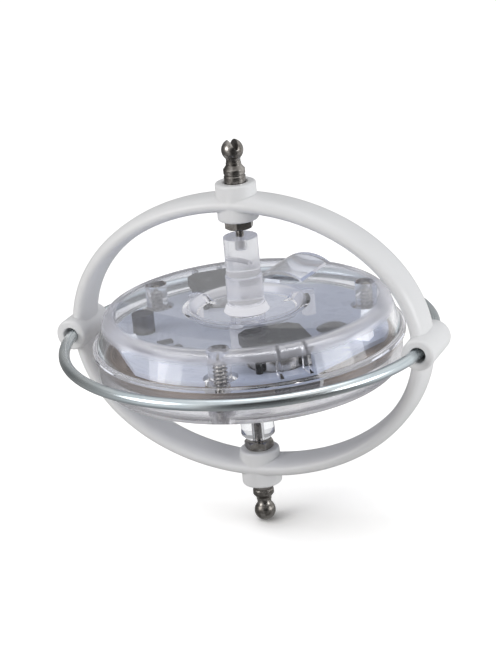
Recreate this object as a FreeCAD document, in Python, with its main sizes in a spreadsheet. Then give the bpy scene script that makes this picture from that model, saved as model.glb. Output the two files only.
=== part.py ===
import FreeCAD, Part
import math
import os
from types import SimpleNamespace

import Sketcher

# Demonstration gyroscope with a clear, lit rotor.
# A white oval frame carries two steel ball studs on the spin axis and a wire hoop round the middle.
# The rotor is two clear shells screwed together round a circuit board, a weight ring and two cell packs.
# The origin is the lowest point of the lower ball, +Z is the spin axis, and the frame lies in the XZ plane.
# Each piece is drawn about the middle plane of the rotor and lifted to its height by its placement.

doc = FreeCAD.newDocument("Gyroscope")

SIZES = (
    ("ring_half_width", 38.5, "oval frame, axis to middle of the band, along X"),
    ("ring_half_height", 29.45, "oval frame, middle plane to middle of the band, along Z"),
    ("ring_band_width", 9.0, "width of the band along Y"),
    ("ring_thickness", 3.6, "thickness of the band"),
    ("ring_edge_round", 1.6, "rounding of the band's four edges"),
    ("boss_radius", 4.3, "axle bosses of the frame"),
    ("boss_inner_overhang", 3.75, "boss face towards the rotor, from the middle of the band"),
    ("boss_outer_overhang", 4.25, "outer boss face, from the middle of the band"),
    ("boss_edge_round", 0.45, "rounding of the boss edges"),
    ("side_boss_radius", 3.4, "tube bosses that hold the wire hoop"),
    ("side_boss_length", 12.7, "length of a tube boss along Y"),
    ("side_boss_round", 0.5, "rounding of its end edges"),
    ("hoop_outset", 0.7, "hoop centre line outside the middle of the band"),
    ("hoop_bore_radius", 1.65, "straight bore through a tube boss"),
    ("hoop_bore_inset", 0.25, "bore set towards the axis, because the wire curves"),
    ("wire_radius", 1.18, "steel wire of the hoop"),
    ("wire_joint", 0.2, "gap where the two ends of the wire meet, inside one boss"),
    ("stud_ball_radius", 2.3, "ball end of a stud"),
    ("stud_ball_reach", 3.15, "ball centre beyond the top of the stud's cone"),
    ("stud_neck_radius", 1.55, "neck under the ball"),
    ("stud_shoulder_radius", 2.27, "collar that seats on the boss"),
    ("stud_shoulder_length", 2.75, "straight part of the collar"),
    ("stud_cone_length", 0.85, "cone from the collar to the neck"),
    ("thread_radius", 1.5, "M3 thread, drawn plain"),
    ("thread_clearance", 0.05, "radial room round the thread"),
    ("thread_chamfer", 0.3, "lead-in at the end of the thread"),
    ("pin_radius", 0.8, "bearing pin at the stud's inner end"),
    ("pin_length", 4.35, "bearing pin past the thread"),
    ("pin_point", 0.45, "length of the pin's pointed end"),
    ("pin_point_radius", 0.3, "flat left on that point"),
    ("bearing_clearance", 0.05, "radial running clearance of a pin"),
    ("end_play", 0.15, "axial room between a pin and the bottom of its bore"),
    ("slot_bottom_half", 0.35, "half width of the string slot at its bottom"),
    ("slot_top_half", 1.05, "half width of the string slot at its mouth"),
    ("slot_floor_rise", 0.35, "slot bottom above the ball centre"),
    ("slot_turn", 45.0, "turn of the slot about the axis"),
    ("nut_flats", 5.5, "M3 hexagon nut across flats"),
    ("nut_height", 1.9, "thin M3 nut"),
    ("nut_chamfer", 0.35, "chamfer at the nut's corners"),
    ("nut_turn", 45.0, "turn of the nuts about the axis"),
    ("wall", 1.5, "wall of the clear shells"),
    ("rotor_gap", 3.6, "rotor's rim flange to the frame's band"),
    ("flange_overhang", 0.8, "flange beyond the side wall"),
    ("flange_height", 0.75, "height of each shell's flange"),
    ("deck_gap", 0.4, "deck to the cell holders under it"),
    ("upper_side_draft", 1.75, "lean of the upper side wall"),
    ("upper_shoulder_round", 1.75, "shoulder between deck and side wall"),
    ("upper_shoulder_width", 1.7, "width of that shoulder seen from above"),
    ("upper_shoulder_drop", 1.5, "height of that shoulder"),
    ("base_drop", 8.0, "lower face below the middle plane"),
    ("lower_side_draft", 0.3, "lean of the lower side wall"),
    ("lower_shoulder_round", 2.9, "shoulder between base and lower side wall"),
    ("lower_shoulder_width", 2.7, "width of that shoulder seen from below"),
    ("lower_shoulder_drop", 2.7, "height of that shoulder"),
    ("recess_gap", 0.9, "wall of the round recess in the deck to the cell holders"),
    ("recess_draft", 1.7, "lean of the recess wall"),
    ("recess_lift", 3.55, "recess floor above the board"),
    ("recess_floor", 1.4, "thickness of the recess floor"),
    ("base_recess_depth", 0.5, "shallow recess in the lower face"),
    ("hub_radius", 3.92, "hub tube of each shell"),
    ("hub_bore_radius", 2.5, "bore of the hub tube"),
    ("hub_reach", 13.65, "end of the hub tube from the middle plane"),
    ("hub_foot_radius", 4.5, "flared foot of the hub in the recess"),
    ("hub_foot_height", 2.0, "height of the flared foot"),
    ("hub_joint", 0.3, "hub tubes meet this far below the middle plane"),
    ("cap_radius", 3.65, "clear axle cap on the hub tube"),
    ("upper_cap_gap", 1.8, "upper axle cap to nut"),
    ("lower_cap_gap", 0.6, "lower axle cap to nut"),
    ("cap_chamfer", 0.9, "chamfer at the lower cap's end"),
    ("spigot_clearance", 0.04, "radial room of the cap's spigot in the hub"),
    ("spigot_length", 6.0, "spigot of the axle cap"),
    ("string_hole_radius", 0.5, "cross hole for the pull string"),
    ("string_hole_drop", 5.15, "cross hole below the end of the upper cap"),
    ("string_hole_turn", -42.0, "direction of the cross hole"),
    ("screw_inset", 4.0, "case screws in from the side wall"),
    ("screw_turn", -80.0, "direction of the first case screw"),
    ("pillar_radius", 2.35, "upper screw pillar"),
    ("lower_pillar_radius", 2.9, "lower screw pillar"),
    ("pillar_joint", 0.3, "pillars meet this far below the middle plane"),
    ("screw_thread_radius", 1.05, "self-tapping screw"),
    ("screw_tip_gap", 0.4, "end of a case screw to the deck"),
    ("screw_point", 0.6, "tapered end of the screw"),
    ("screw_head_radius", 1.95, "pan head"),
    ("screw_head_height", 1.4, "pan head"),
    ("screw_head_depth", 2.6, "head recess in the lower face"),
    ("screw_clearance", 0.06, "radial room round the screw's thread"),
    ("head_clearance", 0.25, "radial room round the screw's head"),
    ("drive_width", 0.5, "cross recess in the screw's head"),
    ("drive_span", 2.3, "length of the cross recess"),
    ("drive_depth", 0.7, "depth of the cross recess"),
    ("post_radius", 1.5, "post from deck to board"),
    ("post_gap", 0.5, "post to the deck's edge of the recess"),
    ("post_turn", -76.0, "direction of the first post and web"),
    ("web_thickness", 0.9, "webs on the recess wall"),
    ("web_length", 4.1, "web from the deck's edge of the recess towards the hub"),
    ("web_crest", 1.4, "level top of the web, from the same edge"),
    ("web_step", 0.15, "web's top below the deck"),
    ("web_toe", 0.1, "web's inner end above the recess floor"),
    ("web_sag", 0.5, "sag of the web's sloping edge"),
    ("rib_thickness", 0.8, "ribs inside the side wall at each cell pack"),
    ("rib_spread", 5.75, "half angle between the two ribs of a pack"),
    ("rib_swing", 2.25, "turn of the two ribs from the middle of their pack"),
    ("rib_gap", 0.4, "rib to cell holder"),
    ("hood_turn", 83.0, "direction of the raised hood on the deck"),
    ("hood_near_gap", 2.6, "inner end of the hood from the recess"),
    ("hood_far_inset", 2.35, "outer end of the hood in from the side wall"),
    ("hood_half_width", 5.6, "half width of the hood"),
    ("hood_rise", 1.9, "crest of the hood above the deck"),
    ("hood_wall", 1.0, "wall of the hood"),
    ("board_gap", 1.4, "board edge to side wall"),
    ("board_thickness", 1.0, "circuit board"),
    ("board_flat_inset", 2.0, "depth of the three flats on the board's edge"),
    ("board_notch_gap", 1.2, "room round a screw pillar in the board's edge"),
    ("board_hub_gap", 0.3, "room round the hub in the board"),
    ("board_cell_gap", 0.3, "room round the cells in the board"),
    ("board_lift", 0.85, "top of the board above the middle plane"),
    ("weight_width", 3.7, "weight ring, radially"),
    ("weight_height", 2.6, "weight ring"),
    ("weight_gap", 0.2, "weight ring to side wall"),
    ("weight_notch_gap", 0.25, "room round a screw pillar in the weight ring"),
    ("ledge_width", 1.2, "ledge of the lower shell under the weight ring"),
    ("cell_gap", 0.5, "cells to the weight ring"),
    ("pack_turn", -52.0, "direction of the front cell pack"),
    ("cell_radius", 5.8, "button cell"),
    ("cell_height", 5.4, "button cell"),
    ("cell_edge", 0.35, "rounded edge of the cell's can"),
    ("cell_cap_radius", 4.7, "raised negative cap of the cell"),
    ("cell_cap_height", 0.35, "raised negative cap of the cell"),
    ("contact_thickness", 0.3, "contact plates of a pack"),
    ("contact_radius", 4.2, "contact plates of a pack"),
    ("holder_thin_wall", 0.28, "side of the cell holder along the radius"),
    ("holder_side_wall", 0.58, "side of the cell holder across the radius"),
    ("holder_corner", 2.0, "cut corners of the cell holder"),
    ("holder_plate", 0.7, "top plate of the cell holder"),
    ("holder_skirt", 1.4, "side of the cell holder below its plate"),
    ("holder_clearance", 0.12, "radial room round a cell in its holder"),
    ("holder_leg_radius", 0.7, "legs of the cell holder"),
    ("holder_leg_inset", 1.5, "legs in from the holder's sides"),
    ("lamp_inset", 3.8, "lamps in from the board's edge"),
    ("lamp_length", 3.5, "surface lamp along the radius"),
    ("lamp_width", 2.8, "surface lamp across the radius"),
    ("lamp_height", 1.9, "surface lamp"),
    ("lamp_lens_radius", 1.15, "round window of the lamp"),
    ("lamp_lens_depth", 0.25, "depth of that window"),
    ("chip_inset", 11, "sealed controller chip in from the board's edge"),
    ("chip_turn", 6.0, "direction of the chip"),
    ("chip_radius", 3.5, "resin drop over the chip"),
    ("chip_height", 1.1, "resin drop over the chip"),
    ("resistor_inset", 10.9, "small resistors in from the board's edge"),
    ("resistor_length", 3.2, "resistor along the radius"),
    ("resistor_width", 1.6, "resistor across the radius"),
    ("resistor_height", 0.6, "resistor"),
    ("switch_inset", 7.2, "spin switch in from the board's edge"),
    ("switch_turn", -163.0, "direction of the spin switch"),
    ("switch_radius", 2.35, "can of the spin switch"),
    ("switch_wall", 0.35, "wall of the can"),
    ("switch_gap", 0.95, "can of the spin switch to the deck"),
    ("switch_base_height", 0.8, "base of the spin switch"),
    ("switch_ball_radius", 0.9, "loose contact ball in the can"),
    ("switch_ball_gap", 0.1, "ball to the can's wall at rest"),
    ("overrun", 1.0, "how far a cut runs past the solid"),
)

COPIES = 3
COPY_STEP = 360.0 / COPIES
LAMP_TURNS = (17.5, -2.0, -145.0, 100.0)
RESISTOR_TURNS = (222.0, 236.0, 250.0)
PACK_SIDES = (("front", 0.0), ("rear", 180.0))


class Size:
    """A length or an angle: its number now, and the sheet expression that gives it."""

    def __init__(self, value, text):
        self.value = value
        self.text = text

    def join(self, other, sign, value):
        text = other.text if isinstance(other, Size) else repr(float(other))
        return Size(value, f"({self.text} {sign} {text})")

    def __add__(self, other):
        return self.join(other, "+", self.value + number(other))

    def __sub__(self, other):
        return self.join(other, "-", self.value - number(other))

    def __mul__(self, other):
        return self.join(other, "*", self.value * number(other))

    def __truediv__(self, other):
        return self.join(other, "/", self.value / number(other))

    def __neg__(self):
        return self * -1.0

    def root(self):
        return Size(math.sqrt(self.value), f"sqrt({self.text})")

    def cos(self):
        return Size(math.cos(math.radians(self.value)), f"cos({self.text})")

    def sin(self):
        return Size(math.sin(math.radians(self.value)), f"sin({self.text})")


class Arc:
    """Bends the outline's next edge. turn is 1 for counter-clockwise and -1 for clockwise."""

    def __init__(self, radius, turn):
        self.radius = radius
        self.turn = turn


class Disc:
    """A circle of a sketch."""

    def __init__(self, x, y, radius):
        self.x = x
        self.y = y
        self.radius = radius


class Oval:
    """An ellipse about a sketch's origin, wider than high."""

    def __init__(self, half_width, half_height):
        self.half_width = half_width
        self.half_height = half_height


def number(size):
    return size.value if isinstance(size, Size) else float(size)


def make_sheet():
    """Writes the driving sizes as plain numbers and returns them by name."""
    sheet = doc.addObject("Spreadsheet::Sheet", "Sizes")
    named = {}
    for row, (name, value, note) in enumerate(SIZES, start=1):
        sheet.set(f"A{row}", name)
        sheet.set(f"B{row}", str(value))
        sheet.set(f"C{row}", note)
        sheet.setAlias(f"B{row}", name)
        named[name] = Size(value, f"Sizes.{name}")
    doc.recompute()
    return SimpleNamespace(**named)


S = make_sheet()

# Heights and reaches that follow from the driving sizes.
BOSS_IN = S.ring_half_height - S.boss_inner_overhang
BOSS_OUT = S.ring_half_height + S.boss_outer_overhang
NECK_START = BOSS_OUT + S.stud_shoulder_length + S.stud_cone_length
BALL_CENTRE = NECK_START + S.stud_ball_reach
MIDDLE = BALL_CENTRE + S.stud_ball_radius
NUT_IN = BOSS_IN - S.nut_height
PIN_END = NUT_IN - S.pin_length
UPPER_CAP_END = NUT_IN - S.upper_cap_gap
LOWER_CAP_END = NUT_IN - S.lower_cap_gap
BORE_END = PIN_END - S.end_play
HOOP_RADIUS = S.ring_half_width + S.hoop_outset
FLANGE_RADIUS = S.ring_half_width - S.ring_thickness / 2 - S.rotor_gap
SIDE_RADIUS = FLANGE_RADIUS - S.flange_overhang
INNER_RADIUS = SIDE_RADIUS - S.wall
BASE_INNER = S.base_drop - S.wall
BOARD_RADIUS = INNER_RADIUS - S.board_gap
BOARD_UNDER = S.board_lift - S.board_thickness
WEIGHT_OUT = INNER_RADIUS - S.weight_gap
WEIGHT_IN = WEIGHT_OUT - S.weight_width
WEIGHT_BASE = BOARD_UNDER - S.weight_height
CELL_BASE = S.contact_thickness - BASE_INNER
CELL_TOP = CELL_BASE + S.cell_height * 2
HOLDER_INNER_TOP = CELL_TOP + S.contact_thickness
HOLDER_TOP = HOLDER_INNER_TOP + S.holder_plate
HOLDER_SKIRT_END = HOLDER_INNER_TOP - S.holder_skirt
HOLDER_RADIAL = S.cell_radius + S.holder_clearance + S.holder_thin_wall
HOLDER_ACROSS = S.cell_radius + S.holder_clearance + S.holder_side_wall
PACK_REACH = WEIGHT_IN - S.cell_gap - S.cell_radius
DECK_UNDER = HOLDER_TOP + S.deck_gap
DECK = DECK_UNDER + S.wall
UPPER_SIDE_TOP = SIDE_RADIUS - S.upper_side_draft
UPPER_SHOULDER_Z = DECK - S.upper_shoulder_drop
LOWER_SIDE_END = SIDE_RADIUS - S.lower_side_draft
LOWER_SHOULDER_Z = S.base_drop - S.lower_shoulder_drop
RECESS_RADIUS = PACK_REACH - HOLDER_RADIAL - S.recess_gap - S.wall
RECESS_FLOOR_Z = S.board_lift + S.recess_lift + S.recess_floor
POST_REACH = RECESS_RADIUS + S.post_gap + S.post_radius
HOOD_NEAR = RECESS_RADIUS + S.hood_near_gap
HOOD_FAR = UPPER_SIDE_TOP - S.hood_far_inset
SCREW_REACH = INNER_RADIUS - S.screw_inset
SCREW_LENGTH = DECK_UNDER + S.base_drop - S.screw_head_depth - S.screw_tip_gap
SWITCH_FLOOR = S.board_lift + S.switch_base_height
SWITCH_REACH = BOARD_RADIUS - S.switch_inset


class Piece:
    """One sub-part: a PartDesign body drawn about the middle plane and placed by bound expressions."""

    def __init__(self, label, circle=None, turn=None, lift=None, flip=False):
        self.body = doc.addObject("PartDesign::Body", label)
        self.body.Label = label
        if flip:
            self.body.Placement.Rotation = FreeCAD.Rotation(FreeCAD.Vector(1, 0, 0), 180)
        if circle is not None:
            self.body.setExpression("Placement.Base.x", (circle * turn.cos()).text)
            self.body.setExpression("Placement.Base.y", (circle * turn.sin()).text)
            self.body.setExpression("Placement.Rotation.Angle", turn.text)
        height = MIDDLE if lift is None else MIDDLE + lift
        self.body.setExpression("Placement.Base.z", height.text)

    def sketch(self, name, items, plane="XY_Plane", lift=None, turn=None, reach=None, across=False):
        """Adds a closed sketch. On XZ_Plane, turn swings it about Z; across faces it along the turn."""
        made = self.body.newObject("Sketcher::SketchObject", name)
        support = [part for part in self.body.Origin.OriginFeatures if part.Role == plane][0]
        made.AttachmentSupport = [(support, "")]
        made.MapMode = "FlatFace"
        if lift is not None:
            made.setExpression("AttachmentOffset.Base.z", lift.text)
        if turn is not None:
            axis = FreeCAD.Vector(0, 1, 0) if plane == "XZ_Plane" else FreeCAD.Vector(0, 0, 1)
            made.AttachmentOffset = FreeCAD.Placement(FreeCAD.Vector(), FreeCAD.Rotation(axis, 1))
            swing = turn + 90.0 if across else turn
            made.setExpression("AttachmentOffset.Rotation.Angle", swing.text)
        if reach is not None:
            made.setExpression("AttachmentOffset.Base.x", (reach * turn.cos()).text)
            made.setExpression("AttachmentOffset.Base.z", (-(reach * turn.sin())).text)
        if isinstance(items[0], Disc):
            for disc in items:
                draw_disc(made, disc)
        elif isinstance(items[0], Oval):
            for oval in items:
                draw_oval(made, oval)
        else:
            draw_outline(made, items)
        return made

    def feature(self, kind, name):
        """Adds a feature that keeps its faces as they are, because merging them breaks the oval band."""
        made = self.body.newObject(f"PartDesign::{kind}", name)
        made.Refine = False
        return made

    def extrude(self, name, items, height, cut=False, both_ways=False, **where):
        """Pads or pockets a sketch by a height along its normal, or half of it each way."""
        profile = self.sketch(name + "_sketch", items, **where)
        feature = self.feature("Pocket" if cut else "Pad", name)
        feature.Profile = profile
        feature.SideType = "Symmetric" if both_ways else "One side"
        feature.Reversed = cut and not both_ways
        feature.setExpression("Length", height.text)
        return feature

    def turned(self, name, items, cut=False, sweep=None):
        """Revolves an outline of radius and height round the Z axis."""
        profile = self.sketch(name + "_sketch", items, plane="XZ_Plane")
        feature = self.feature("Groove" if cut else "Revolution", name)
        feature.Profile = profile
        feature.ReferenceAxis = (profile, ["V_Axis"])
        feature.Angle = 360
        if sweep is not None:
            feature.setExpression("Angle", sweep.text)
        return feature

    def repeat(self, name, feature):
        """Copies a feature evenly round the Z axis."""
        axis = [part for part in self.body.Origin.OriginFeatures if part.Role == "Z_Axis"][0]
        pattern = self.feature("PolarPattern", name)
        pattern.Originals = [feature]
        pattern.Axis = (axis, [""])
        pattern.Angle = 360
        pattern.Occurrences = COPIES
        self.body.Tip = pattern
        return pattern

    def round_edges(self, name, base, radius, wanted):
        """Rounds the edges of a feature that the test wanted picks."""
        doc.recompute()
        picked = [f"Edge{i}" for i, edge in enumerate(base.Shape.Edges, start=1) if wanted(edge)]
        feature = self.feature("Fillet", name)
        feature.Base = (base, picked)
        feature.setExpression("Radius", radius.text)
        return feature


def pin_point(sketch, geometry, end, x, y):
    """Ties one end of a sketch edge to its place, measured from the sketch's origin."""
    for kind, axis, size in (("DistanceX", -2, x), ("DistanceY", -1, y)):
        if isinstance(size, Size):
            made = sketch.addConstraint(Sketcher.Constraint(kind, -1, 1, geometry, end, size.value))
            sketch.setExpression(f"Constraints[{made}]", size.text)
        else:
            sketch.addConstraint(Sketcher.Constraint("PointOnObject", geometry, end, axis))


def bind_radius(sketch, geometry, radius):
    made = sketch.addConstraint(Sketcher.Constraint("Radius", geometry, radius.value))
    sketch.setExpression(f"Constraints[{made}]", radius.text)


def draw_disc(sketch, disc):
    centre = FreeCAD.Vector(number(disc.x), number(disc.y), 0)
    circle = Part.Circle(centre, FreeCAD.Vector(0, 0, 1), disc.radius.value)
    geometry = sketch.addGeometry(circle, False)
    pin_point(sketch, geometry, 3, disc.x, disc.y)
    bind_radius(sketch, geometry, disc.radius)


def draw_oval(sketch, oval):
    ellipse = Part.Ellipse(FreeCAD.Vector(), oval.half_width.value, oval.half_height.value)
    geometry = sketch.addGeometry(ellipse, False)
    sketch.exposeInternalGeometry(geometry)
    sketch.addConstraint(Sketcher.Constraint("Coincident", geometry, 3, -1, 1))
    sketch.addConstraint(Sketcher.Constraint("Horizontal", geometry + 1))
    for axis, half in ((geometry + 1, oval.half_width), (geometry + 2, oval.half_height)):
        whole = half * 2
        made = sketch.addConstraint(Sketcher.Constraint("Distance", axis, whole.value))
        sketch.setExpression(f"Constraints[{made}]", whole.text)


def arc_between(start, end, arc):
    """Returns the arc from start to end and the numbers of its first and last ends."""
    half = (end - start) * 0.5
    rise = math.sqrt(max(arc.radius.value ** 2 - half.Length ** 2, 0.0))
    side = FreeCAD.Vector(-half.y, half.x, 0).normalize() * rise * arc.turn
    centre = start + half + side
    first, last = (start, end) if arc.turn > 0 else (end, start)
    first_angle = math.atan2(first.y - centre.y, first.x - centre.x)
    last_angle = math.atan2(last.y - centre.y, last.x - centre.x)
    if last_angle < first_angle:
        last_angle += 2 * math.pi
    circle = Part.Circle(centre, FreeCAD.Vector(0, 0, 1), arc.radius.value)
    ends = (1, 2) if arc.turn > 0 else (2, 1)
    return Part.ArcOfCircle(circle, first_angle, last_angle), ends


def draw_outline(sketch, items):
    """Draws a closed outline of points (x, y), with an Arc after a point whose next edge bends."""
    points = []
    bends = {}
    for item in items:
        if isinstance(item, Arc):
            bends[len(points) - 1] = item
        else:
            points.append(item)
    edges = []
    for index, point in enumerate(points):
        following = points[(index + 1) % len(points)]
        start = FreeCAD.Vector(number(point[0]), number(point[1]), 0)
        end = FreeCAD.Vector(number(following[0]), number(following[1]), 0)
        if index in bends:
            curve, ends = arc_between(start, end, bends[index])
        else:
            curve, ends = Part.LineSegment(start, end), (1, 2)
        geometry = sketch.addGeometry(curve, False)
        edges.append((geometry, ends))
    for index, (geometry, ends) in enumerate(edges):
        after, after_ends = edges[(index + 1) % len(edges)]
        sketch.addConstraint(Sketcher.Constraint("Coincident", geometry, ends[1], after, after_ends[0]))
        pin_point(sketch, geometry, ends[0], *points[index])
        if index in bends:
            bind_radius(sketch, geometry, bends[index].radius)


def mirrored(items):
    """Returns an outline turned over about the middle plane."""
    turned_over = []
    for item in items:
        if isinstance(item, Arc):
            turned_over.append(Arc(item.radius, -item.turn))
        else:
            turned_over.append((item[0], -item[1]))
    return turned_over


def fixed(angle):
    """Wraps an angle that no sheet cell drives."""
    return Size(angle, repr(angle))


def polar(circle, turn, radius):
    """A disc on a circle about the axis."""
    return Disc(circle * turn.cos(), circle * turn.sin(), radius)


def box(x_half, y_half):
    """A rectangle about the origin."""
    return [(-x_half, -y_half), (x_half, -y_half), (x_half, y_half), (-x_half, y_half)]


def crown_radius(half_width, rise):
    """Radius of the arc that spans a width and rises by a height."""
    return (half_width * half_width + rise * rise) / (rise * 2)


def group(label, pieces):
    """Joins like pieces into one node of separate solids."""
    made = doc.addObject("Part::Compound", label)
    made.Label = label
    made.Links = [piece.body for piece in pieces]
    return made


def ring_frame():
    """White oval frame in one moulding: band, two axle bosses and two tube bosses."""
    piece = Piece("ring_frame")
    half = S.ring_thickness / 2
    ovals = [Oval(S.ring_half_width + half, S.ring_half_height + half),
             Oval(S.ring_half_width - half, S.ring_half_height - half)]
    band = piece.extrude("band", ovals, S.ring_band_width, both_ways=True, plane="XZ_Plane")
    piece.round_edges("band_rounding", band, S.ring_edge_round,
                      lambda edge: not isinstance(edge.Curve, Part.Line))
    for name, base in (("upper_boss", BOSS_IN), ("lower_boss", -BOSS_OUT)):
        boss = piece.extrude(name, [Disc(0, 0, S.boss_radius)], BOSS_OUT - BOSS_IN, lift=base)
        piece.round_edges(f"{name}_rounding", boss, S.boss_edge_round, end_circle(S.boss_radius))
    tubes = [Disc(HOOP_RADIUS * side, 0, S.side_boss_radius) for side in (1, -1)]
    tube_bosses = piece.extrude("tube_bosses", tubes, S.side_boss_length, both_ways=True, plane="XZ_Plane")
    piece.round_edges("tube_rounding", tube_bosses, S.side_boss_round, end_circle(S.side_boss_radius))
    bores = [Disc((HOOP_RADIUS - S.hoop_bore_inset) * side, 0, S.hoop_bore_radius) for side in (1, -1)]
    piece.extrude("hoop_bores", bores, S.side_boss_length + S.overrun * 2, cut=True, both_ways=True,
                  plane="XZ_Plane")
    thread = S.thread_radius + S.thread_clearance
    for name, base in (("upper_bore", BOSS_IN), ("lower_bore", -BOSS_OUT)):
        piece.extrude(name, [Disc(0, 0, thread)], BOSS_OUT - BOSS_IN + S.overrun * 2, cut=True,
                      lift=base - S.overrun)
    return piece.body


def end_circle(radius):
    """Returns a test that picks whole circles of one radius."""
    def wanted(edge):
        curve = edge.Curve
        near = isinstance(curve, Part.Circle) and abs(curve.Radius - radius.value) < radius.value / 1000
        return near and edge.isClosed()
    return wanted


def wire_hoop():
    """Steel wire bent into a circle, its two ends meeting inside one tube boss."""
    piece = Piece("wire_hoop")
    sweep = S.wire_joint / HOOP_RADIUS * -math.degrees(1) + 360.0
    piece.turned("wire", [Disc(HOOP_RADIUS, 0, S.wire_radius)], sweep=sweep)
    return piece.body


def stud(label, flip, slotted):
    """Steel stud: bearing pin, M3 thread, collar, neck and ball end."""
    piece = Piece(label, flip=flip)
    ball, neck, thread = S.stud_ball_radius, S.stud_neck_radius, S.thread_radius
    collar_end = BOSS_OUT + S.stud_shoulder_length
    ball_start = BALL_CENTRE - (ball * ball - neck * neck).root()
    piece.turned("stud", [
        (0, PIN_END), (S.pin_point_radius, PIN_END), (S.pin_radius, PIN_END + S.pin_point),
        (S.pin_radius, NUT_IN), (thread - S.thread_chamfer, NUT_IN), (thread, NUT_IN + S.thread_chamfer),
        (thread, BOSS_OUT), (S.stud_shoulder_radius, BOSS_OUT), (S.stud_shoulder_radius, collar_end),
        (neck, NECK_START), (neck, ball_start), Arc(ball, 1), (0, BALL_CENTRE + ball)])
    if slotted:
        floor = BALL_CENTRE + S.slot_floor_rise
        mouth = BALL_CENTRE + ball + S.overrun
        notch = [(-S.slot_bottom_half, floor), (S.slot_bottom_half, floor),
                 (S.slot_top_half, mouth), (-S.slot_top_half, mouth)]
        piece.extrude("string_slot", notch, (ball + S.overrun) * 2, cut=True, both_ways=True,
                      plane="XZ_Plane", turn=S.slot_turn)
    return piece.body


def lock_nut(label, flip):
    """Thin hexagon nut that locks a stud against the frame's boss."""
    piece = Piece(label, flip=flip)
    flat, corner = S.nut_flats / 2, S.nut_flats / math.sqrt(3)
    hexagon = [(corner, 0), (corner / 2, flat), (-corner / 2, flat),
               (-corner, 0), (-corner / 2, -flat), (corner / 2, -flat)]
    piece.extrude("hexagon", hexagon, S.nut_height, lift=NUT_IN, turn=S.nut_turn)
    rim = corner + S.overrun
    rise = S.nut_chamfer / (corner - flat) * (rim - flat)
    piece.turned("inner_chamfer", [(flat, NUT_IN), (rim, NUT_IN), (rim, NUT_IN + rise)], cut=True)
    piece.turned("outer_chamfer", [(flat, BOSS_IN), (rim, BOSS_IN), (rim, BOSS_IN - rise)], cut=True)
    piece.extrude("nut_bore", [Disc(0, 0, S.thread_radius + S.thread_clearance)],
                  S.nut_height + S.overrun * 2, cut=True, lift=NUT_IN - S.overrun)
    return piece.body


def upper_shell():
    """Clear upper shell: deck, recess, hub tube, screw pillars, posts, webs, ribs and raised hood."""
    piece = Piece("rotor_upper_shell")
    floor_under = RECESS_FLOOR_Z - S.recess_floor
    foot_top = RECESS_FLOOR_Z + S.hub_foot_height
    recess_low = RECESS_RADIUS - S.recess_draft
    piece.turned("shell", [
        (S.hub_bore_radius, -S.hub_joint), (S.hub_radius, -S.hub_joint), (S.hub_radius, floor_under),
        (recess_low + S.wall, floor_under), (RECESS_RADIUS + S.wall, DECK_UNDER),
        (UPPER_SIDE_TOP - S.wall, DECK_UNDER), (INNER_RADIUS, 0), (FLANGE_RADIUS, 0),
        (FLANGE_RADIUS, S.flange_height), (SIDE_RADIUS, S.flange_height),
        (UPPER_SIDE_TOP, UPPER_SHOULDER_Z), Arc(S.upper_shoulder_round, 1),
        (UPPER_SIDE_TOP - S.upper_shoulder_width, DECK), (RECESS_RADIUS, DECK),
        (recess_low, RECESS_FLOOR_Z), (S.hub_foot_radius, RECESS_FLOOR_Z), (S.hub_radius, foot_top),
        (S.hub_radius, S.hub_reach), (S.hub_bore_radius, S.hub_reach)])
    into_deck = DECK_UNDER + S.wall / 2
    pillar = piece.extrude("pillar", [polar(SCREW_REACH, S.screw_turn, S.pillar_radius)],
                           into_deck + S.pillar_joint, lift=-S.pillar_joint)
    piece.repeat("pillars", pillar)
    post = piece.extrude("post", [polar(POST_REACH, S.post_turn, S.post_radius)],
                         into_deck - S.board_lift, lift=S.board_lift)
    piece.repeat("posts", post)
    web_base = RECESS_FLOOR_Z - S.recess_floor / 2
    web_in, web_out = RECESS_RADIUS - S.web_length, RECESS_RADIUS + S.wall / 2
    web_low, web_top = RECESS_FLOOR_Z + S.web_toe, DECK - S.web_step
    crest_in = RECESS_RADIUS - S.web_crest
    run, climb = crest_in - web_in, web_top - web_low
    half_edge = (run * run + climb * climb).root() / 2
    web = piece.extrude("web", [(web_in, web_base), (web_out, web_base), (web_out, web_top), (crest_in, web_top),
                                Arc(crown_radius(half_edge, S.web_sag), -1), (web_in, web_low)],
                        S.web_thickness, both_ways=True, plane="XZ_Plane", turn=S.post_turn)
    piece.repeat("webs", web)
    rib_in = PACK_REACH + HOLDER_RADIAL + S.rib_gap
    rib = [(rib_in, S.board_lift), (INNER_RADIUS + S.wall / 4, S.board_lift),
           (UPPER_SIDE_TOP - S.wall / 2, into_deck), (rib_in, into_deck)]
    for side, offset in PACK_SIDES:
        for place, spread in (("left", S.rib_spread), ("right", -S.rib_spread)):
            piece.extrude(f"rib_{side}_{place}", rib, S.rib_thickness, both_ways=True,
                          plane="XZ_Plane", turn=S.pack_turn + S.rib_swing + spread + offset)
    add_hood(piece)
    pilot = S.screw_thread_radius + S.screw_clearance
    hole = piece.extrude("pilot_hole", [polar(SCREW_REACH, S.screw_turn, pilot)],
                         DECK_UNDER + S.pillar_joint, cut=True, lift=-S.pillar_joint)
    piece.repeat("pilot_holes", hole)
    return piece.body


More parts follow.
